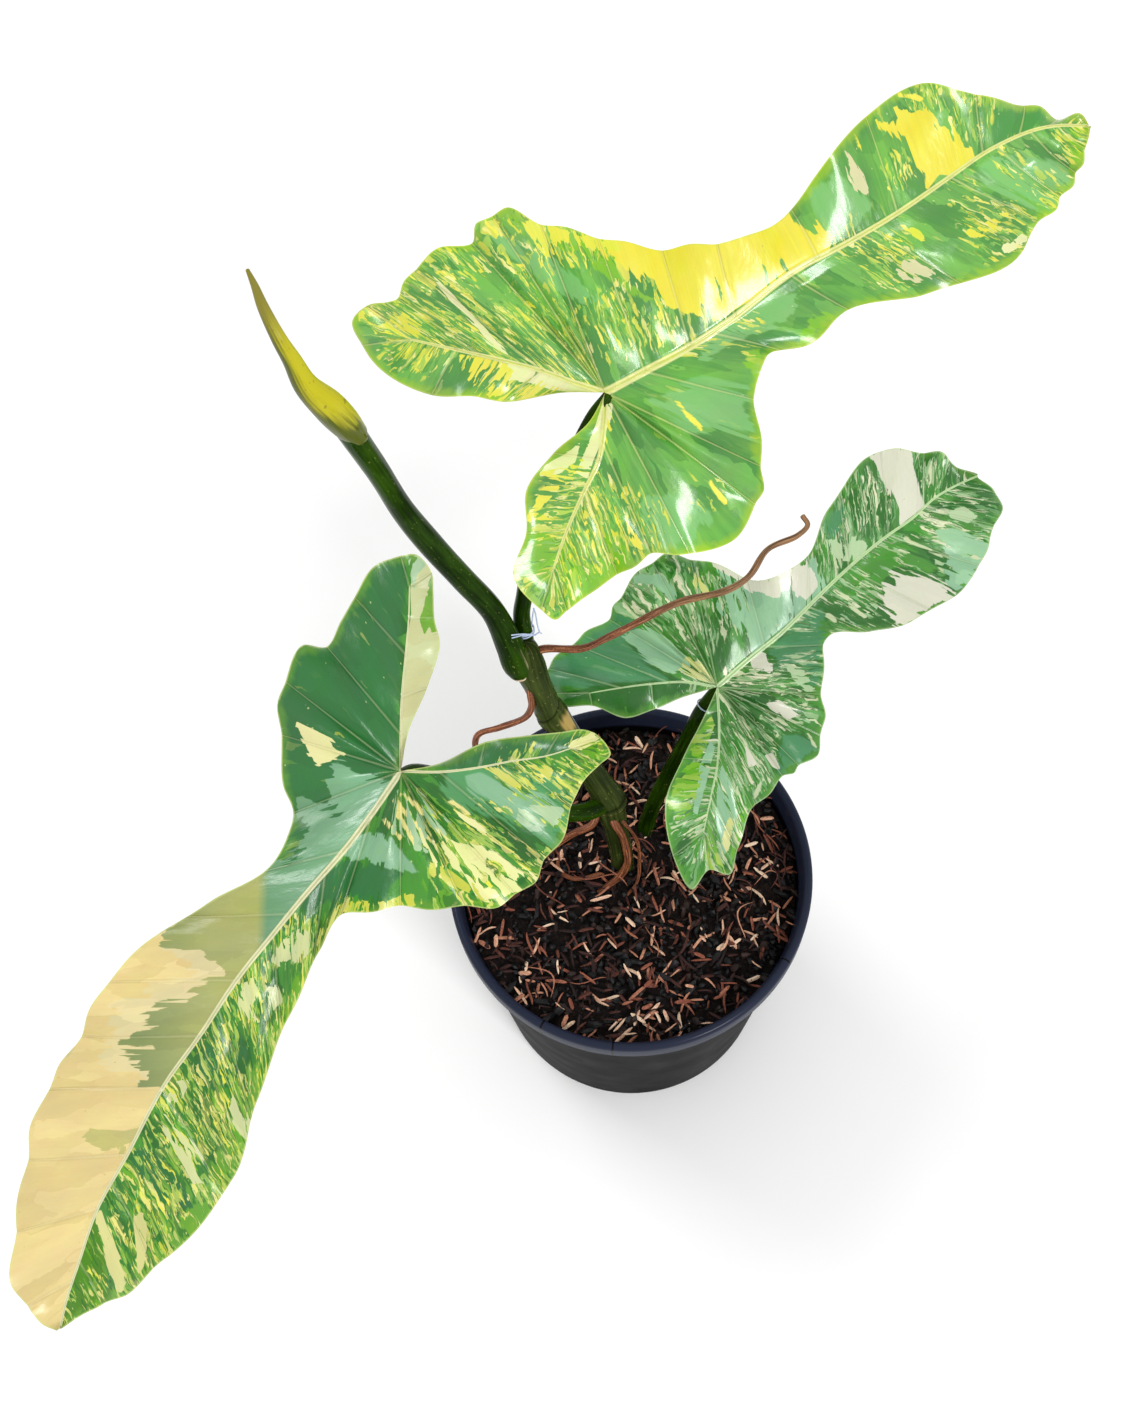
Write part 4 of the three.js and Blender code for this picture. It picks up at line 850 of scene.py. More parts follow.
def leaf_mesh(name, leaf):
    """A blade with thickness, ribs below it and its paint in attributes."""
    midrib = curve_points(leaf["midrib"], np.linspace(0, len(leaf["midrib"]) - 1, 40))
    halves = [half_blade(leaf, side) for side in (LEFT, RIGHT)]
    part = {key: np.concatenate([half[key] for half, _ in halves]) for key in halves[0][0]}
    points = part["flat"]
    x, y = points.T
    part["off"] = path_gap(points, midrib)
    part["rib"] = np.minimum(part["rib"], part["off"])
    upper = blade_relief(part, x, y) + blade_height(leaf, x, y, part["across"], part["side"])
    solid = np.vstack([np.stack([x, y, height], 1) for height in (upper, under_face(part, upper))])
    turn = Euler([radians(leaf["bank"]), -radians(leaf["climb"]), radians(leaf["heading"])], "XYZ")
    solid = solid @ np.array(turn.to_matrix()).T + leaf["at"]
    paint = {"rib": part["rib"] / part["rib_half"],
             "vein": part["vein"] / np.interp(part["across"], (0, 1), BLADE["vein_half"]),
             # Along the blade, tilted away from the midrib: it places the edge of the front leaf's painted
             # shadow.
             "margin": part["margin"], "along": x + leaf.get("shadow_slant", 0) * part["off"],
             **leaf_paint(leaf, part)}
    paint = {key: np.tile(values, 2) for key, values in paint.items()}
    paint["under"] = np.repeat([0, 1], len(x))
    grain = np.tile(np.stack([part["walked"], part["out"]], 1), (2, 1))
    faces = blade_faces([shape for _, shape in halves], len(x))
    return plain_mesh(name, solid, faces, paint, ("grain", grain), smooth=60)


def patch_depth(part, outline):
    """Depth inside a patch, ended at the midrib where the patch lies on one half of the blade.

    Small patches count as deeper than they are, so that the same teeth cut less out of them.
    """
    depth = depth_inside(part["flat"], outline)
    inside = depth > 0
    on_right = np.average(part["side"][inside], weights=part["off"][inside])
    if abs(on_right - 0.5) > 0.3:
        half = RIGHT if on_right > 0.5 else LEFT
        depth = np.minimum(depth, np.where(part["side"] == half, part["off"], -part["off"]))
    return depth / np.clip(depth.max() / BLADE["bold"], 0.2, 1)


def leaf_paint(leaf, part):
    """Depth inside each tone's patches, and the density of streaks, at each point of a blade."""
    points, paint = part["flat"], {}
    for tone, (*_, outlines) in [*leaf["grounds"].items(), *leaf["patches"].items()]:
        paint[tone] = np.max([patch_depth(part, outline) for outline in outlines], axis=0)
    paint["fleck"] = np.max([0.9 - segment_gap(points, *fleck) for fleck in leaf["flecks"]], axis=0)
    density = [share * disc(points, x, y, reach) for x, y, reach, share in leaf["streaks"]]
    cleared = [disc(points, *clearing) for clearing in leaf["clearings"]]
    paint["streaks"] = np.max(density, axis=0) * (1 - np.max(cleared, axis=0))
    return paint


def disc(points, x, y, reach):
    """1 near a place, falling to 0 at its reach."""
    return np.clip(2.2 * (1 - np.hypot(*(points - (x, y)).T) / reach), 0, 1)


class LeafPaint(Shader):
    """A blade's material: patterns along its veins, and the layers of colour that they shape."""

    def __init__(self, name, leaf):
        super().__init__(name)
        self.leaf = leaf
        self.grain = self.uv("grain")
        wave = {key: self.noise(self.grain, *given) for key, given in WAVES.items()}
        self.slow, self.lines = wave["slow"], wave["lines"]
        self.teeth, self.wander = wave["teeth"] - 0.5, wave["wander"] - 0.5
        self.relief = wave["pucker"] * 1.1 + wave["crinkle"] * 0.22 + self.lines * 0.04
        steps = self.random_cells(self.grain, CELLS["steps"])
        ragged = steps * RAGGED["step"] + self.teeth * RAGGED["tooth"] - RAGGED["step"] / 2
        self.ragged = ragged * self.parts(self.grain)[1].step(*RAGGED["over"])
        aside = self.teeth * RAGGED["bend"] + self.wander * RAGGED["bend"]
        bend = self.vector(aside, self.wander * RAGGED["bend_along"], 0.0)
        self.bent = self.shifted(self.grain, bend)
        self.wash = self.random_cells(self.bent, CELLS["wash"])

    def greens(self):
        """Two greens in slow washes, other grounds with ragged edges, and a brighter rim."""
        share = self.slow * 0.55 + self.lines * 0.2 + self.wash * 0.25
        colour = self.mix(share.step(0.36, 0.64), *self.leaf["greens"])
        for tone, (ground, _) in self.leaf["grounds"].items():
            colour = self.mix((self.attribute(tone) + self.ragged).step(-1.2, 1.2), colour, ground)
        rim, reach, strength = self.leaf["rim"]
        inside = self.attribute("margin") + self.teeth * RAGGED["rim"] + self.wander * RAGGED["rim"]
        return self.mix((1 - inside.step(0.5, reach)) * strength, colour, rim)

    def streaks(self, colour):
        """Fragments of many tones and some sizes along the veins, dark slivers, and a few flecks."""
        dark, tones = self.leaf["greens"][0], self.leaf["streak_tones"]
        gaps = (self.slow + self.wander * 0.6).step(0.36, 0.52) * 0.7 + 0.4
        density = self.attribute("streaks") * gaps
        stops = list(zip(np.linspace(0.1, 0.9, len(tones)), tones))
        for width, length, share in self.leaf["fragments"]:
            cell = self.random_cells(self.bent, (1 / width, 1 / length, 1))
            strength = cell.other("Blue") * 0.5 + 0.55
            shown = (density * share - cell).step(-0.015, 0.015) * strength
            colour = self.mix(shown, colour, self.ramp(cell.other("Green"), stops))
        sliver = self.random_cells(self.bent, CELLS["slivers"])
        colour = self.mix((density * 0.45 - sliver).step(-0.02, 0.02) * 0.75, colour, dark)
        fleck = (self.attribute("fleck") + self.teeth * RAGGED["fleck"]).step(-0.3, 0.3)
        return self.mix(fleck, colour, tones[3])

    def patches(self, colour):
        """Patches with ragged edges, broken by slits, and a sprinkle of dots over all."""
        slits = self.random_cells(self.bent, CELLS["slits"])
        blend = (self.slow * 0.6 + self.wash * 0.15 + self.lines * 0.25).step(0.3, 0.7)
        # A leaf may fill one patch from a ramp along the blade; the front leaf's ramp holds painted shadow.
        along = (self.attribute("along") + self.teeth * RAGGED["shadow_fade"]) * (1 / self.leaf["length"])
        shadowed_tone, stops = self.leaf.get("shadow_fade", (None, None))
        solid = None
        for tone, (main, second, broken, _) in self.leaf["patches"].items():
            cut = (slits - 1 + broken).step(0, 0.02) * 20
            depth = (self.attribute(tone) + self.ragged - cut).step(-0.3, 0.3)
            solid = solid.most(depth) if solid else depth
            fill = self.ramp(along, stops) if tone == shadowed_tone else self.mix(blend, main, second)
            colour = self.mix(depth, colour, fill)
        dots = self.cells(self.grain, CELLS["dots"])
        dot = (1 - dots.step(0.05, 0.1)) * self.channels(dots.other("Color")).step(0.72, 0.74)
        return self.mix(dot * 0.7, colour, self.mix(solid, PAINT["leaf_dot"], PAINT["patch_dot"]))

    def ribs(self, colour, rib, vein):
        """Pale side veins, a thin pale edge, and ribs with a groove of another tone."""
        pale, core = self.leaf["rib_tones"]
        colour = self.mix((1 - vein.step(0.3, 1.2)) * self.leaf["vein_show"], colour, pale)
        edge = 1 - self.attribute("margin").step(0.25, 0.8)
        colour = self.mix(edge * 0.6, colour, self.leaf["edge"])
        return self.mix(1 - rib.step(0.7, 1.1), colour, self.mix(1 - rib.step(0.15, 0.5), pale, core))


def leaf_material(name, leaf):
    """Green in two shades, with streaks and patches that run out in teeth along the veins."""
    shade = LeafPaint(name, leaf)
    rib, vein, under = (shade.attribute(key) for key in ("rib", "vein", "under"))
    colour = shade.patches(shade.streaks(shade.greens()))
    colour = shade.mix(under * 0.45, shade.ribs(colour, rib, vein), PAINT["leaf_below"])
    colour = shade.node("ShaderNodeHueSaturation", None, {
        "Hue": shade.wander * 0.03 + 0.5, "Saturation": shade.slow * 0.3 + 0.86,
        "Value": shade.slow * 0.24 + shade.wash * 0.12 + 0.74, "Color": colour})
    relief = shade.relief - (1 - vein.step(0, 2.4)) * 0.5
    return shade.finish(
        Base_Color=colour, Roughness=shade.slow * 0.14 + under * 0.2 + 0.2, IOR=1.4,
        Coat_Weight=(1 - under) * leaf["gloss"], Coat_Roughness=0.12, Normal=shade.bump(relief, 0.8))


def build_leaves():
    for name, leaf in LEAVES.items():
        skin = leaf_material(name + "_skin", leaf)
        piece(leaf_mesh(name + "_blade", leaf), "leaf_blade", skin, replaces=[name])


def limb_rings(stops, per_span):
    """Centre, radius, direction, two cross directions and length so far at steps along a limb."""
    places = np.linspace(0, len(stops) - 1, (len(stops) - 1) * per_span + 1)
    rings = curve_points(stops, places)
    centre, radius = rings[:, :3], rings[:, 3]
    along = np.gradient(centre, axis=0)
    along /= np.linalg.norm(along, axis=1)[:, None]
    across, frames = np.array([1.0, 0, 0]), []
    for direction in along:
        across = across - direction * (across @ direction)
        across /= np.linalg.norm(across)
        frames.append((across, np.cross(direction, across)))
    return centre, radius, along, np.array(frames), length_so_far(spans(centre))


def limb_mesh(name, stops, sides=24, per_span=8, relief=None, paint=None):
    """A round limb with domed ends. Reliefs and paint are rules of the turn and the length so far."""
    centre, radius, along, frames, walked = limb_rings(stops, per_span)
    turn = np.arange(sides) * tau / sides
    ring = (frames[:, 0][:, None] * np.cos(turn)[:, None]
            + frames[:, 1][:, None] * np.sin(turn)[:, None])
    around, length = np.meshgrid(turn, walked)
    reach = radius[:, None] + (relief(around, length) if relief else 0)
    rows = [centre[:, None] + ring * reach[..., None]]
    for end, way in ((0, -1), (-1, 1)):
        cap = [centre[end] + ring[end] * reach[end][:, None] * share + along[end] * way * radius[end] * out
               for share, out in CAP][::way]
        rows.insert(len(rows) if way > 0 else 0, np.array(cap))
    points = np.concatenate(rows)
    around = np.tile(turn, (len(points), 1))
    length = np.pad(length, ((len(CAP), len(CAP)), (0, 0)), "edge")
    grain = np.stack([np.cos(around) * GRAIN_RADIUS, np.sin(around) * GRAIN_RADIUS, length], -1)
    stored = {"grain": grain.reshape(-1, 3)}
    for key, rule in (paint or {}).items():
        stored[key] = rule(around, length).ravel()
    return plain_mesh(name, points.reshape(-1, 3), grid_faces(len(points), sides, closed=True), stored)


def bumps(walked, places, width):
    """Rises to 1 at each place along a limb."""
    return np.sum([np.exp(-((walked - place) / width) ** 2) for place in places], axis=0)


def stop_length(stops, place):
    """Millimetres along a limb to one of its stops."""
    return spans(curve_points(stops, np.linspace(0, place, 60))[:, :3]).sum()


def skin_material(name):
    """Waxy green skin with fine lines along the limb, and scars where it carries rings."""
    dark, light, scar, streak = SKINS[name]
    shade = Shader(name)
    grain = shade.attribute("grain", "Vector")
    slow = shade.noise(grain, (0.12, 0.12, 0.03), 3)
    lines = shade.noise(grain, (0.9, 0.9, 0.04), 3)
    specks = shade.noise(grain, (1.1, 1.1, 0.45))
    colour = shade.mix((slow * (1 - streak) + lines * streak).step(0.36, 0.68), dark, light)
    ring = shade.attribute("ring")
    colour = shade.mix((ring + (lines - 0.5) * 0.5).step(0.3, 0.8), colour, scar)
    colour = shade.mix(shade.attribute("dark").step(0.2, 0.8) * 0.7, colour, PAINT["skin_groove"])
    colour = shade.mix(specks.step(0.69, 0.72) * 0.4, colour, PAINT["skin_speck"])
    return shade.finish(
        Base_Color=colour, Roughness=lines * 0.1 + ring * 0.2 + 0.14, IOR=1.11,
        Normal=shade.bump(lines * 0.1 + slow * 0.5 + specks * 0.06, 0.8))


def build_stem():
    low, high, fork = (stop_length(STEM, place) for place in (1.7, 5.6, 10.9))

    def crease(turn, walked):
        """The groove above each node, which runs aslant round the stem at the fork."""
        aslant = 4 * np.cos(turn - 0.6) * (walked > high + 9)
        return bumps(walked - aslant, [low + 2, high + 2, fork + 1], 0.9)

    def relief(turn, walked):
        ridges = 0.08 * np.sin(9 * turn + walked / 30) + 0.1 * np.sin(walked / 2.2) * (walked < high)
        return ridges + 0.5 * bumps(walked, [low, high, fork], 1.2) - 0.4 * crease(turn, walked)

    def ring(turn, walked):
        """Scars at the two lower nodes, and a tan patch on the near side below the fork."""
        tan = bumps(walked, [fork - 11], 9) * np.exp(-((turn - 5.7) / 0.7) ** 2)
        return np.clip(0.45 * bumps(walked, [low, high], 0.9) + tan, 0, 1)

    bark = limb_mesh("stem_bark", STEM, 32, 14, relief, {"ring": ring, "dark": crease})
    piece(bark, "green_stem", skin_material("stem_skin"), replaces=["stem"])


def build_petioles():
    skin = skin_material("petiole_skin")

    def lip(turn, walked):
        """The dry edge of the newest petiole's sheath, round its foot and up its right side."""
        side = np.exp(-((turn - 5.5) / 0.09) ** 2) * np.clip((24 - walked) / 6, 0, 1)
        return np.clip(bumps(walked, [1.2], 1.8) + side, 0, 1)

    def bare(turn, walked):
        return 0 * walked

    for name, stops, edge in (
            ("upper_petiole", UPPER_PETIOLE, bare), ("front_petiole", FRONT_PETIOLE, bare),
            ("lower_petiole", LOWER_PETIOLE, bare), ("newest_petiole", NEWEST_PETIOLE, lip)):
        def relief(turn, walked, edge=edge):
            ridges = 0.05 * np.sin(11 * turn) + 0.08 * np.sin(walked / 9 + 2 * turn)
            return ridges + 0.5 * edge(turn, walked)

        mesh = limb_mesh(name + "_skin", stops, 36, 14, relief, {"ring": edge, "dark": bare})
        piece(mesh, "green_stem", skin, replaces=[name])


def root_material():
    """Cracked brown skin, paler and duller on the stretch that reaches out to the right."""
    shade = Shader("root_skin")
    grain = shade.attribute("grain", "Vector")
    lines = shade.noise(grain, (0.5, 0.5, 0.08), 4)
    cracks = shade.noise(grain, (0.4, 0.4, 1.2), 3)
    right_stretch = shade.parts(shade.place())[0].step(0, 0.05) * 0.6
    colour = shade.mix(right_stretch, shade.ramp(lines * 0.7 + cracks * 0.3, RAMPS["root"]),
                       shade.ramp(lines, RAMPS["pale_root"]))
    return shade.finish(Base_Color=colour, Roughness=cracks * 0.3 + 0.3, IOR=1.35,
                        Normal=shade.bump(lines * 0.4 + cracks * 0.25, 0.9))


def build_roots():
    skin = root_material()
    for number, (name, stops) in enumerate(AIR_ROOTS.items()):
        def relief(turn, walked, number=number):
            return 0.1 * np.sin(walked / 3.1 + number) + 0.08 * np.sin(3 * turn + walked / 5)

        piece(limb_mesh(name + "_skin", stops, 14, 10, relief), "air_root", skin, replaces=[name])


def rolled_leaf_material():
    """Yellow skin that turns olive on one side, with lines along it, spots and a browner tip."""
    shade = Shader("rolled_leaf_skin")
    grain = shade.attribute("grain", "Vector")
    lines = shade.noise(grain, (0.8, 0.8, 0.05), 3)
    spots = shade.noise(grain, (0.45, 0.45, 0.4))
    olive = (shade.attribute("olive") + (lines - 0.5) * 0.8).step(0.3, 0.75)
    colour = shade.mix(olive, PAINT["new_leaf"], PAINT["new_leaf_olive"])
    colour = shade.mix(spots.step(0.66, 0.7) * 0.6, colour, PAINT["new_leaf_spot"])
    tip = (shade.attribute("tip") + (lines - 0.5) * 0.4).step(0, 0.7)
    colour = shade.mix(tip, colour, PAINT["new_leaf_tip"])
    return shade.finish(Base_Color=colour, Roughness=lines * 0.15 + 0.25, IOR=1.35,
                        Normal=shade.bump(lines * 0.3, 0.8))


def build_rolled_leaf():
    total = stop_length(ROLLED_LEAF, len(ROLLED_LEAF) - 1)

    def relief(turn, walked):
        """The free edge of the rolled blade, which winds round it."""
        share = (turn + 0.5 + walked / 60) % tau / tau
        return (0.9 * share - 0.45) * np.clip(1.2 - walked / total, 0.1, 1)

    def olive(turn, walked):
        """Olive on the left, round the foot and on its right shoulder."""
        share = walked / total
        left = (0.5 - 0.5 * np.cos(turn - 0.35)) ** 1.3
        left = left * np.interp(share, (0, 0.3, 0.6, 1), (0.8, 0.75, 0.95, 1))
        foot = np.interp(share, (0, 0.12, 0.24, 0.36), (0.75, 0.5, 0.3, 0))
        shoulder = bumps(walked, [2], 5) * np.exp(-((turn - 6) / 0.7) ** 2)
        return np.clip(left + foot + shoulder, 0, 1)

    def tip(turn, walked):
        return np.clip((walked / total - 0.6) / 0.4, 0, 1)

    mesh = limb_mesh("rolled_leaf_skin", ROLLED_LEAF, 48, 12, relief, {"olive": olive, "tip": tip})
    piece(mesh, "rolled_leaf", rolled_leaf_material(), replaces=["rolled_leaf"])


def lathe(profile, sides):
    """Points and faces of a solid of revolution about the pot's axis."""
    turn = np.arange(sides) * tau / sides
    profile = np.array(profile, float)
    points = np.stack([profile[:, :1] * np.cos(turn), profile[:, :1] * np.sin(turn),
                       np.repeat(profile[:, 1:], sides, axis=1)], -1)
    return points.reshape(-1, 3), grid_faces(len(profile), sides, closed=True)


def rounded(profile, radius, steps=3):
    """A profile with each of its corners rounded off."""
    profile = np.array(profile, float)
    smooth = [profile[0]]
    for before, corner, after in zip(profile, profile[1:], profile[2:]):
        back, on = before - corner, after - corner
        cut = min(radius, *(np.linalg.norm(side) * 0.45 for side in (back, on)))
        start, end = corner + back / np.linalg.norm(back) * cut, corner + on / np.linalg.norm(on) * cut
        for share in np.linspace(0, 1, steps + 1):
            smooth.append((1 - share) ** 2 * start + 2 * share * (1 - share) * corner + share ** 2 * end)
    return [*smooth, profile[-1]]


def pot_material():
    """Black plastic, glossy on the rolled rim and painted there a lighter blue-grey as sheen, with faint
    dust and flow marks below.
    """
    shade = Shader("pot_plastic")
    place = shade.place()
    x, y, z = shade.parts(place)
    cloud = shade.noise(place, 40, 4)
    scuffs = shade.noise(place, (300, 300, 1200), 3)
    shoulder = POT["height"] - POT["rim_depth"]
    rim = z.step(shoulder * MM, (shoulder + 3) * MM)
    thin, wide = (half * MM for half in POT["notch_half"])
    notch = 0.0
    for turn in POT["notches"]:
        ahead, aside = float(np.cos(radians(turn))), float(np.sin(radians(turn)))
        mark = 1 - abs(x * aside - y * ahead).step(thin, wide)
        notch = mark * (x * ahead + y * aside).step(0, MM) * rim + notch
    dust = cloud.step(0.45, 0.75) * scuffs.step(0.45, 0.7) * 0.2
    wall = shade.mix(dust, PAINT["pot_wall"], PAINT["pot_dust"])
    # The rim's lighter blue-grey is painted sheen, on top of the coat's real gloss.
    colour = shade.mix(notch, shade.mix(rim, wall, PAINT["pot_rim_sheen"]), PAINT["pot_notch"])
    return shade.finish(
        Base_Color=colour, Roughness=cloud * 0.2 + 0.3, IOR=1.04, Coat_Weight=rim * 0.28,
        Coat_Roughness=0.22, Normal=shade.bump(scuffs * 0.05 + cloud * 0.3 - notch * 0.6, 0.5))


def build_pot():
    top, rim, base, recess = POT["height"], POT["rim"], POT["base"], POT["recess"]
    shoulder, lip, edge = top - POT["rim_depth"], rim - POT["rim_width"], POT["lip_round"]
    inner, inner_floor = base - POT["wall"], recess + POT["floor"]
    outline = rounded([
        (0, 0), (POT["pad"], 0), (POT["pad"] + recess, recess), (POT["foot"] - recess, recess),
        (POT["foot"], 0), (base - POT["bevel"], 0), (base, POT["bevel"]),
        (POT["shoulder"], shoulder - POT["rim_under"]), (rim - POT["rim_ease"], shoulder),
        (rim, shoulder + POT["rim_ease"]), (rim, top - edge), (rim - edge, top), (lip + edge, top),
        (lip, top - edge), (POT["shoulder"] - POT["wall"], shoulder), (inner, inner_floor + POT["fillet"]),
        (inner - POT["fillet"], inner_floor), (0, inner_floor)], POT["round"])
    shell = drilled(plain_mesh("pot_work", *lathe(outline, POT["sides"])))
    piece(shell, "pot_plastic", pot_material(), replaces=["pot"])


def drilled(mesh):
    """The pot's mesh with its drain holes cut."""
    shell = add_object(mesh)
    drills = bmesh.new()
    hole = POT["hole"] * MM
    for turn in np.arange(POT["holes"]) * tau / POT["holes"]:
        place = Matrix.Translation(Vector((np.cos(turn), np.sin(turn), 0)) * POT["hole_ring"] * MM)
        bmesh.ops.create_cone(drills, cap_ends=True, segments=POT["hole_sides"], radius1=hole,
                              radius2=hole, depth=5 * hole, matrix=place)
    drill_mesh = bpy.data.meshes.new("drills")
    drills.to_mesh(drill_mesh)
    drills.free()
    drill = add_object(drill_mesh)
    cutter = shell.modifiers.new("drain_holes", "BOOLEAN")
    cutter.operation, cutter.solver, cutter.object = "DIFFERENCE", "EXACT", drill
    cut = bpy.data.meshes.new_from_object(shell.evaluated_get(bpy.context.evaluated_depsgraph_get()))
    for spare in (shell, drill):
        bpy.data.objects.remove(spare)
    cut.name = "pot_shell"
    cut.shade_smooth()
    cut.set_sharp_from_angle(angle=radians(POT["sharp"]))
    return cut


def mix_relief(x, y):
    """Height of the mix above its level, in millimetres."""
    return MIX["rise"] * sum(share * noise.noise(Vector((x / wide, y / wide, seed)))
                             for wide, seed, share in MIX["lumps"])


def mix_wall(height):
    """Radius of the mix at a height, just inside the pot's wall."""
    floor = POT["recess"] + POT["floor"] + POT["fillet"]
    share = (height - floor) / (POT["height"] - POT["rim_depth"] - floor)
    return POT["base"] - POT["wall"] + (POT["shoulder"] - POT["base"]) * share - MIX["clear_of_wall"]


def earth_material():
    """Dark, crumbly earth between the chips."""
    shade = Shader("mix_bed")
    grit = shade.noise(shade.place(), 420, 5, 0.7)
    return shade.finish(Base_Color=shade.ramp(grit, RAMPS["earth"]), Roughness=0.9,
                        Specular_IOR_Level=0.15, Normal=shade.bump(grit * 2.5, 0.9))


def build_mix():
    floor = POT["recess"] + POT["floor"] + MIX["clear_of_floor"]
    sides, across = MIX["sides"], MIX["across"]
    foot, wall, fillet = mix_wall(floor), mix_wall(MIX["level"]), POT["fillet"]
    profile = [(0, floor), (foot - fillet, floor), (foot, floor + fillet),
               *[(radius, MIX["level"]) for radius in np.linspace(wall, 0, across)]]
    points, faces = lathe(profile, sides)
    top = points[-across * sides:]
    top[:, 2] += [mix_relief(x, y) for x, y, _ in top]
    piece(plain_mesh("mix_bed", points, faces), "potting_mix", earth_material(), replaces=["potting_mix"])

    ground = plain_mesh("mix_top", top, grid_faces(across, sides, closed=True))
    husk = chip_material("husk_chip", 0.7, RAMPS["husk"])
    charcoal = chip_material("charcoal_chip", 0.5, RAMPS["charcoal"])
    crumbs = [crumb(number, size) for number, size in enumerate(CHARCOAL_CRUMBS)]
    scatter("charcoal_chips", ground, crumbs, charcoal, STREW["charcoal"])
    scatter("husk_chips", ground, [shred(*sizes) for sizes in HUSK_SHREDS], husk, STREW["husk"])
    scatter("fibres", ground, [shred(*sizes, steps=14) for sizes in FIBRE_SHREDS], husk, STREW["fibre"])


def chip_material(name, rough, stops):
    """Fibrous chips, each with its own tint."""
    shade = Shader(name)
    fibre = shade.noise(shade.place(), 900, 3)
    tint = shade.attribute("tint") + (fibre - 0.5) * 0.35
    return shade.finish(Base_Color=shade.ramp(tint, stops), Roughness=rough, Specular_IOR_Level=0.3,
                        Normal=shade.bump(fibre * 0.5, 0.7))


def shred(length, width, curl, twist, bend, steps=7):
    """A thin strip along x that narrows to its ends, arched, twisted and bent."""
    rows = []
    for share in np.linspace(-0.5, 0.5, steps):
        half = 0.5 * width * (1 - (2 * share) ** 6 * 0.7)
        side = np.array([0, np.cos(twist * share), np.sin(twist * share)])
        up = np.array([0, -side[2], side[1]])
        middle = np.array([share * length, bend * np.sin(4 * share + twist), curl * (1 - (2 * share) ** 2)])
        rows += [middle + half * side, middle + 0.4 * half * up,
                 middle - half * side, middle - 0.25 * half * up]
    last = len(rows) - 1
    ends = [[0, 1, 2, 3], [last, last - 1, last - 2, last - 3]]
    faces = grid_faces(steps, 4, closed=True).tolist() + ends
    return np.array(rows), faces


def crumb(number, size):
    """An angular crumb of charcoal or bark."""
    work = bmesh.new()
    bmesh.ops.create_icosphere(work, subdivisions=1, radius=0.5)
    points = []
    for vertex in work.verts:
        rough = 1 + 0.6 * noise.noise(vertex.co * 3.4 + Vector((number * 5, 0, 0)))
        points.append([vertex.co[axis] * size[axis] * rough for axis in range(3)])
    faces = [[vertex.index for vertex in face.verts] for face in work.faces]
    work.free()
    return np.array(points), faces


def scatter(name, ground, shapes, material, settings):
    """Strews shapes over the mix with Geometry Nodes, as one plain mesh."""
    loose = bpy.data.collections.new(name + "_shapes")
    for number, (points, faces) in enumerate(shapes):
        mesh = bpy.data.meshes.new(f"{name}_{number}")
        mesh.from_pydata((points * MM).tolist(), [], faces)
        loose.objects.link(bpy.data.objects.new(mesh.name, mesh))
    group = bpy.data.node_groups.new(name, "GeometryNodeTree")
    sockets = [("Geometry", "INPUT", "Geometry"), ("Geometry", "OUTPUT", "Geometry")]
    sockets += [(key, "INPUT", "Int" if key == "Seed" else "Float") for key in settings]
    for key, way, kind in sockets:
        group.interface.new_socket(key, in_out=way, socket_type="NodeSocket" + kind)
    strew_nodes(Tree(group), loose, len(shapes), material)

    bed = add_object(ground.copy())
    strew = bed.modifiers.new(name, "NODES")
    strew.node_group = group
    for item in group.interface.items_tree:
        if item.in_out == "INPUT" and item.name in settings:
            strew[item.identifier] = settings[item.name]
    mesh = bpy.data.meshes.new_from_object(bed.evaluated_get(bpy.context.evaluated_depsgraph_get()))
    for spare in (bed, *loose.objects):
        bpy.data.objects.remove(spare)
    bpy.data.collections.remove(loose)
    mesh.name = name
    piece(mesh, "potting_mix")


def strew_nodes(tree, loose, kinds, material):
    """Random copies of the loose shapes on the ground, turned, lifted, scaled and tinted."""
    given = tree.node("NodeGroupInput")

    def random(kind, low, high, more):
        (low_socket, low_value), (high_socket, high_value) = low, high
        return tree.node("FunctionNodeRandomValue", {"data_type": kind}, {
            low_socket: low_value, high_socket: high_value, "Seed": given.other("Seed") + more})

    points = tree.node("GeometryNodeDistributePointsOnFaces", None, {
        "Mesh": given, "Density": given.other("Density"), "Seed": given.other("Seed")})
    slope = given.other("Tilt")
    angles = random("FLOAT_VECTOR", (0, tree.vector(0 - slope, 0 - slope, 0.0)),
                    (1, tree.vector(slope, slope, tau)), 1)
    turn = tree.node("FunctionNodeEulerToRotation", None, {0: angles})
    lift = random("FLOAT_VECTOR", (0, tree.vector(0.0, 0.0, given.other("Lowest"))),
                  (1, tree.vector(0.0, 0.0, given.other("Highest"))), 2)
    lifted = tree.node("GeometryNodeSetPosition", None, {"Geometry": points, "Offset": lift})
    picked = tree.node("GeometryNodeCollectionInfo", None, {
        "Collection": loose, "Separate Children": True, "Reset Children": True})
    strewn = tree.node("GeometryNodeInstanceOnPoints", None, {
        "Points": lifted, "Instance": picked, "Pick Instance": True, "Rotation": turn,
        "Instance Index": random("INT", (4, 0), (5, kinds - 1), 3),
        "Scale": random("FLOAT", (2, given.other("Smallest")), (3, given.other("Largest")), 4)})
    tinted = tree.node("GeometryNodeStoreNamedAttribute", {"data_type": "FLOAT", "domain": "INSTANCE"}, {
        "Geometry": strewn, "Name": "tint", "Value": random("FLOAT", (2, 0.0), (3, 1.0), 5)})
    real = tree.node("GeometryNodeRealizeInstances", None, {0: tinted})
    painted = tree.node("GeometryNodeSetMaterial", None, {"Geometry": real, "Material": material})
    tree.node("NodeGroupOutput", None, {0: painted})


def wire_mesh(name, points):
    """A round wire through points."""
    return limb_mesh(name, [(*point, TIE["wire"]) for point in points], 10, 4)


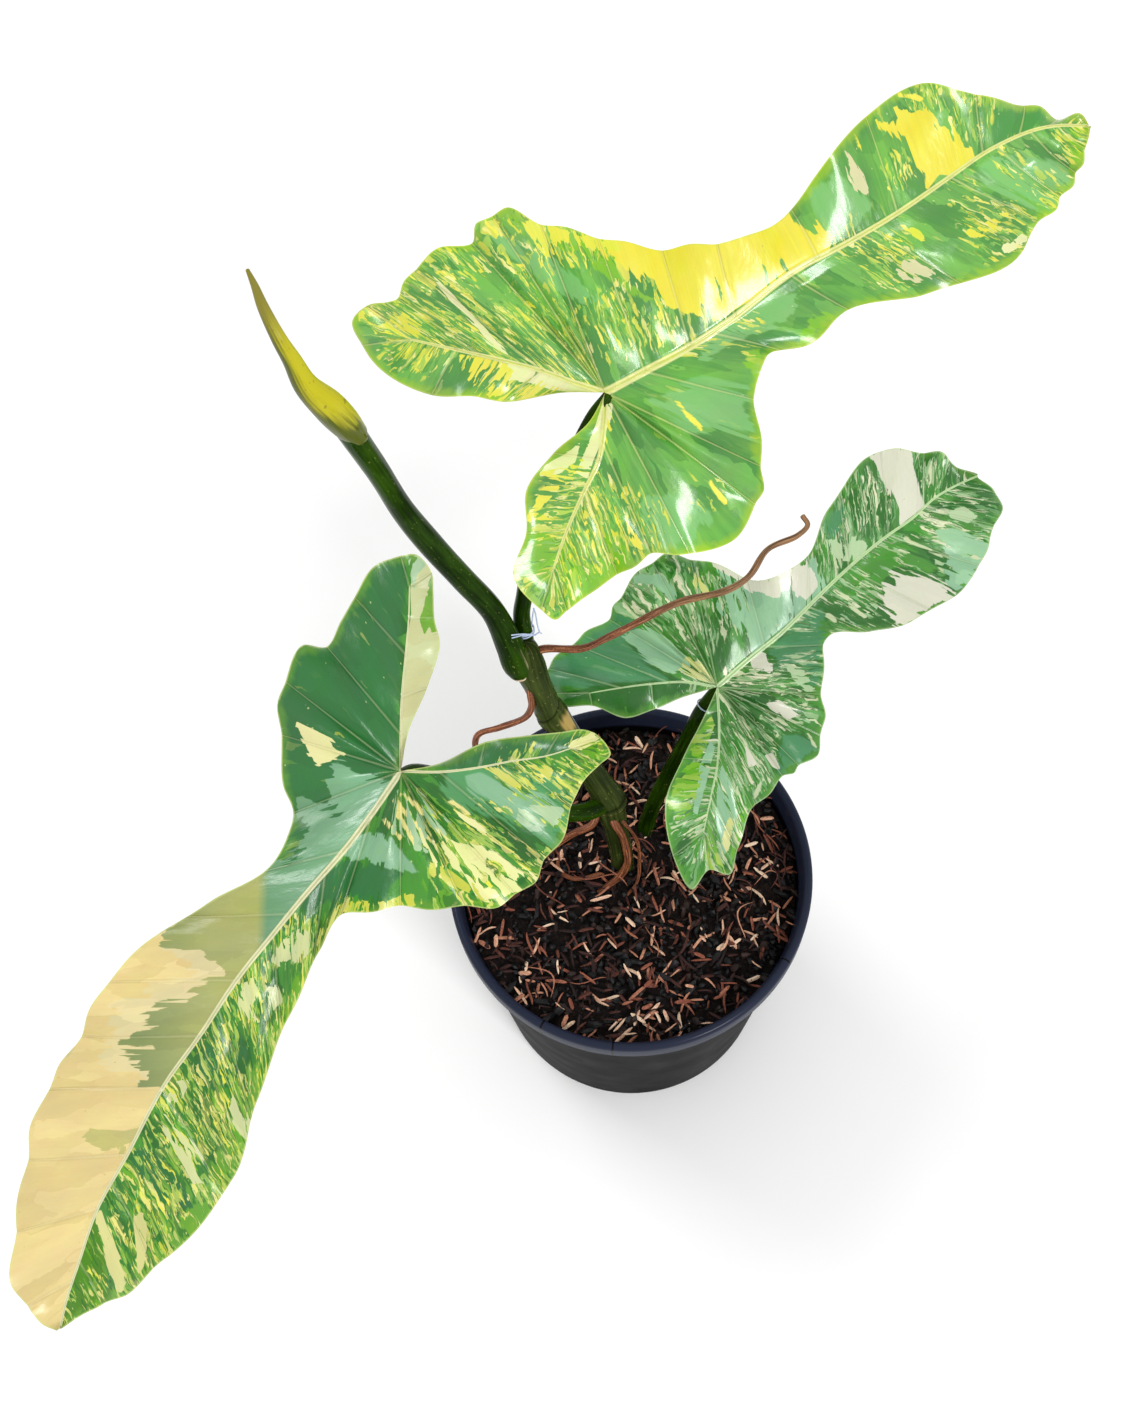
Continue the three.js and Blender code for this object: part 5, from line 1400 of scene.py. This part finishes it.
def joined(name, meshes):
    """Several meshes as one."""
    work = bmesh.new()
    for mesh in meshes:
        work.from_mesh(mesh)
    whole = bpy.data.meshes.new(name)
    work.to_mesh(whole)
    work.free()
    whole.shade_smooth()
    return whole


def spot_on(stops, share):
    """A limb's centre, radius, direction and two cross directions at a share of its steps."""
    *rings, _ = limb_rings(stops, 10)
    number = int(share * (len(rings[0]) - 1))
    return [values[number] for values in rings]


def ring_round(spot, clear, steps, rise=0):
    """Points of a ring that stands clear of a limb, a rise along it."""
    centre, radius, along, (across, aside) = spot
    return [centre + along * rise + (across * np.cos(turn) + aside * np.sin(turn)) * (radius + clear)
            for turn in np.linspace(0, tau, steps + 1)]


def coating_material():
    """Pale plastic round the wire."""
    shade = Shader("tie_coating")
    cloud = shade.noise(shade.place(), 600)
    colour = shade.mix(cloud.step(0.3, 0.7) * 0.5, PAINT["tie_shade"], PAINT["tie_light"])
    return shade.finish(Base_Color=colour, Roughness=cloud * 0.1 + 0.3, IOR=1.4)


def build_ties():
    coating = coating_material()
    spot = spot_on(UPPER_PETIOLE, TIE["at"])
    knot = spot[0] + np.array(TIE["knot_side"]) * (spot[1] + TIE["knot"])
    wires = [ring_round(spot, TIE["clear"], TIE["steps"], rise) for rise in (0, TIE["lift"])]
    wires += [[knot + offset for offset in tail] for tail in TIE["tails"]]
    for rise in (0, TIE["spread"]):
        strand = [np.add(stop, (0, 0, rise * (1 - 0.3 * number)))
                  for number, stop in enumerate(TIE["strand"])]
        wires.append([*strand, knot + (0, 0, 0.2 * rise)])
    tie = joined("wire_tie_coating", [wire_mesh("wire", points) for points in wires])
    piece(tie, "tie_wire", coating, replaces=["wire_tie"])

    loop = ring_round(spot_on(LOWER_PETIOLE, TIE["ring_at"]), TIE["ring_clear"], TIE["ring_steps"])
    piece(wire_mesh("petiole_ring_coating", loop), "tie_wire", coating, replaces=["petiole_ring"])


def build_stage():
    paint = Shader("floor").finish(Base_Color=srgb(*PAINT["floor"]), Roughness=0.9, Specular_IOR_Level=0.1)
    half = STUDIO["floor_half"]
    mesh = bpy.data.meshes.new("floor")
    corners = [(-half, -half, 0), (half, -half, 0), (half, half, 0), (-half, half, 0)]
    mesh.from_pydata(corners, [], [(0, 1, 2, 3)])
    add_object(mesh, paint)
    world = bpy.data.worlds.new("studio")
    world.use_nodes = True
    sky = world.node_tree.nodes["Background"].inputs
    sky["Color"].default_value = (1, 1, 1, 1)
    sky["Strength"].default_value = STUDIO["world"]
    bpy.context.scene.world = world
    for name, (place, size, power) in STUDIO["lamps"].items():
        lamp = bpy.data.lights.new(name, "AREA")
        lamp.size, lamp.energy = size, power
        light = bpy.data.objects.new(name, lamp)
        light.location = place
        aim = Vector(STUDIO["aim"]) - Vector(place)
        light.rotation_euler = aim.to_track_quat("-Z", "Y").to_euler()
        bpy.context.scene.collection.objects.link(light)


def build_camera():
    lens = bpy.data.cameras.new("camera")
    lens.sensor_fit, lens.sensor_height, lens.lens = "VERTICAL", CAMERA["sensor"], CAMERA["lens"]
    lens.clip_start = CAMERA["nearest"] * MM
    camera = bpy.data.objects.new("camera", lens)
    pitch = Matrix.Rotation(radians(90 + CAMERA["pitch"]), 4, "X")
    roll = Matrix.Rotation(radians(CAMERA["roll"]), 4, "Z")
    camera.matrix_world = Matrix.Translation(Vector(CAMERA["at"]) * MM) @ pitch @ roll
    bpy.context.scene.collection.objects.link(camera)
    bpy.context.scene.camera = camera
    bpy.context.scene.view_settings.view_transform = "Standard"


build_camera()
build_stage()
build_pot()
build_mix()
build_stem()
build_petioles()
build_rolled_leaf()
build_roots()
build_ties()
build_leaves()
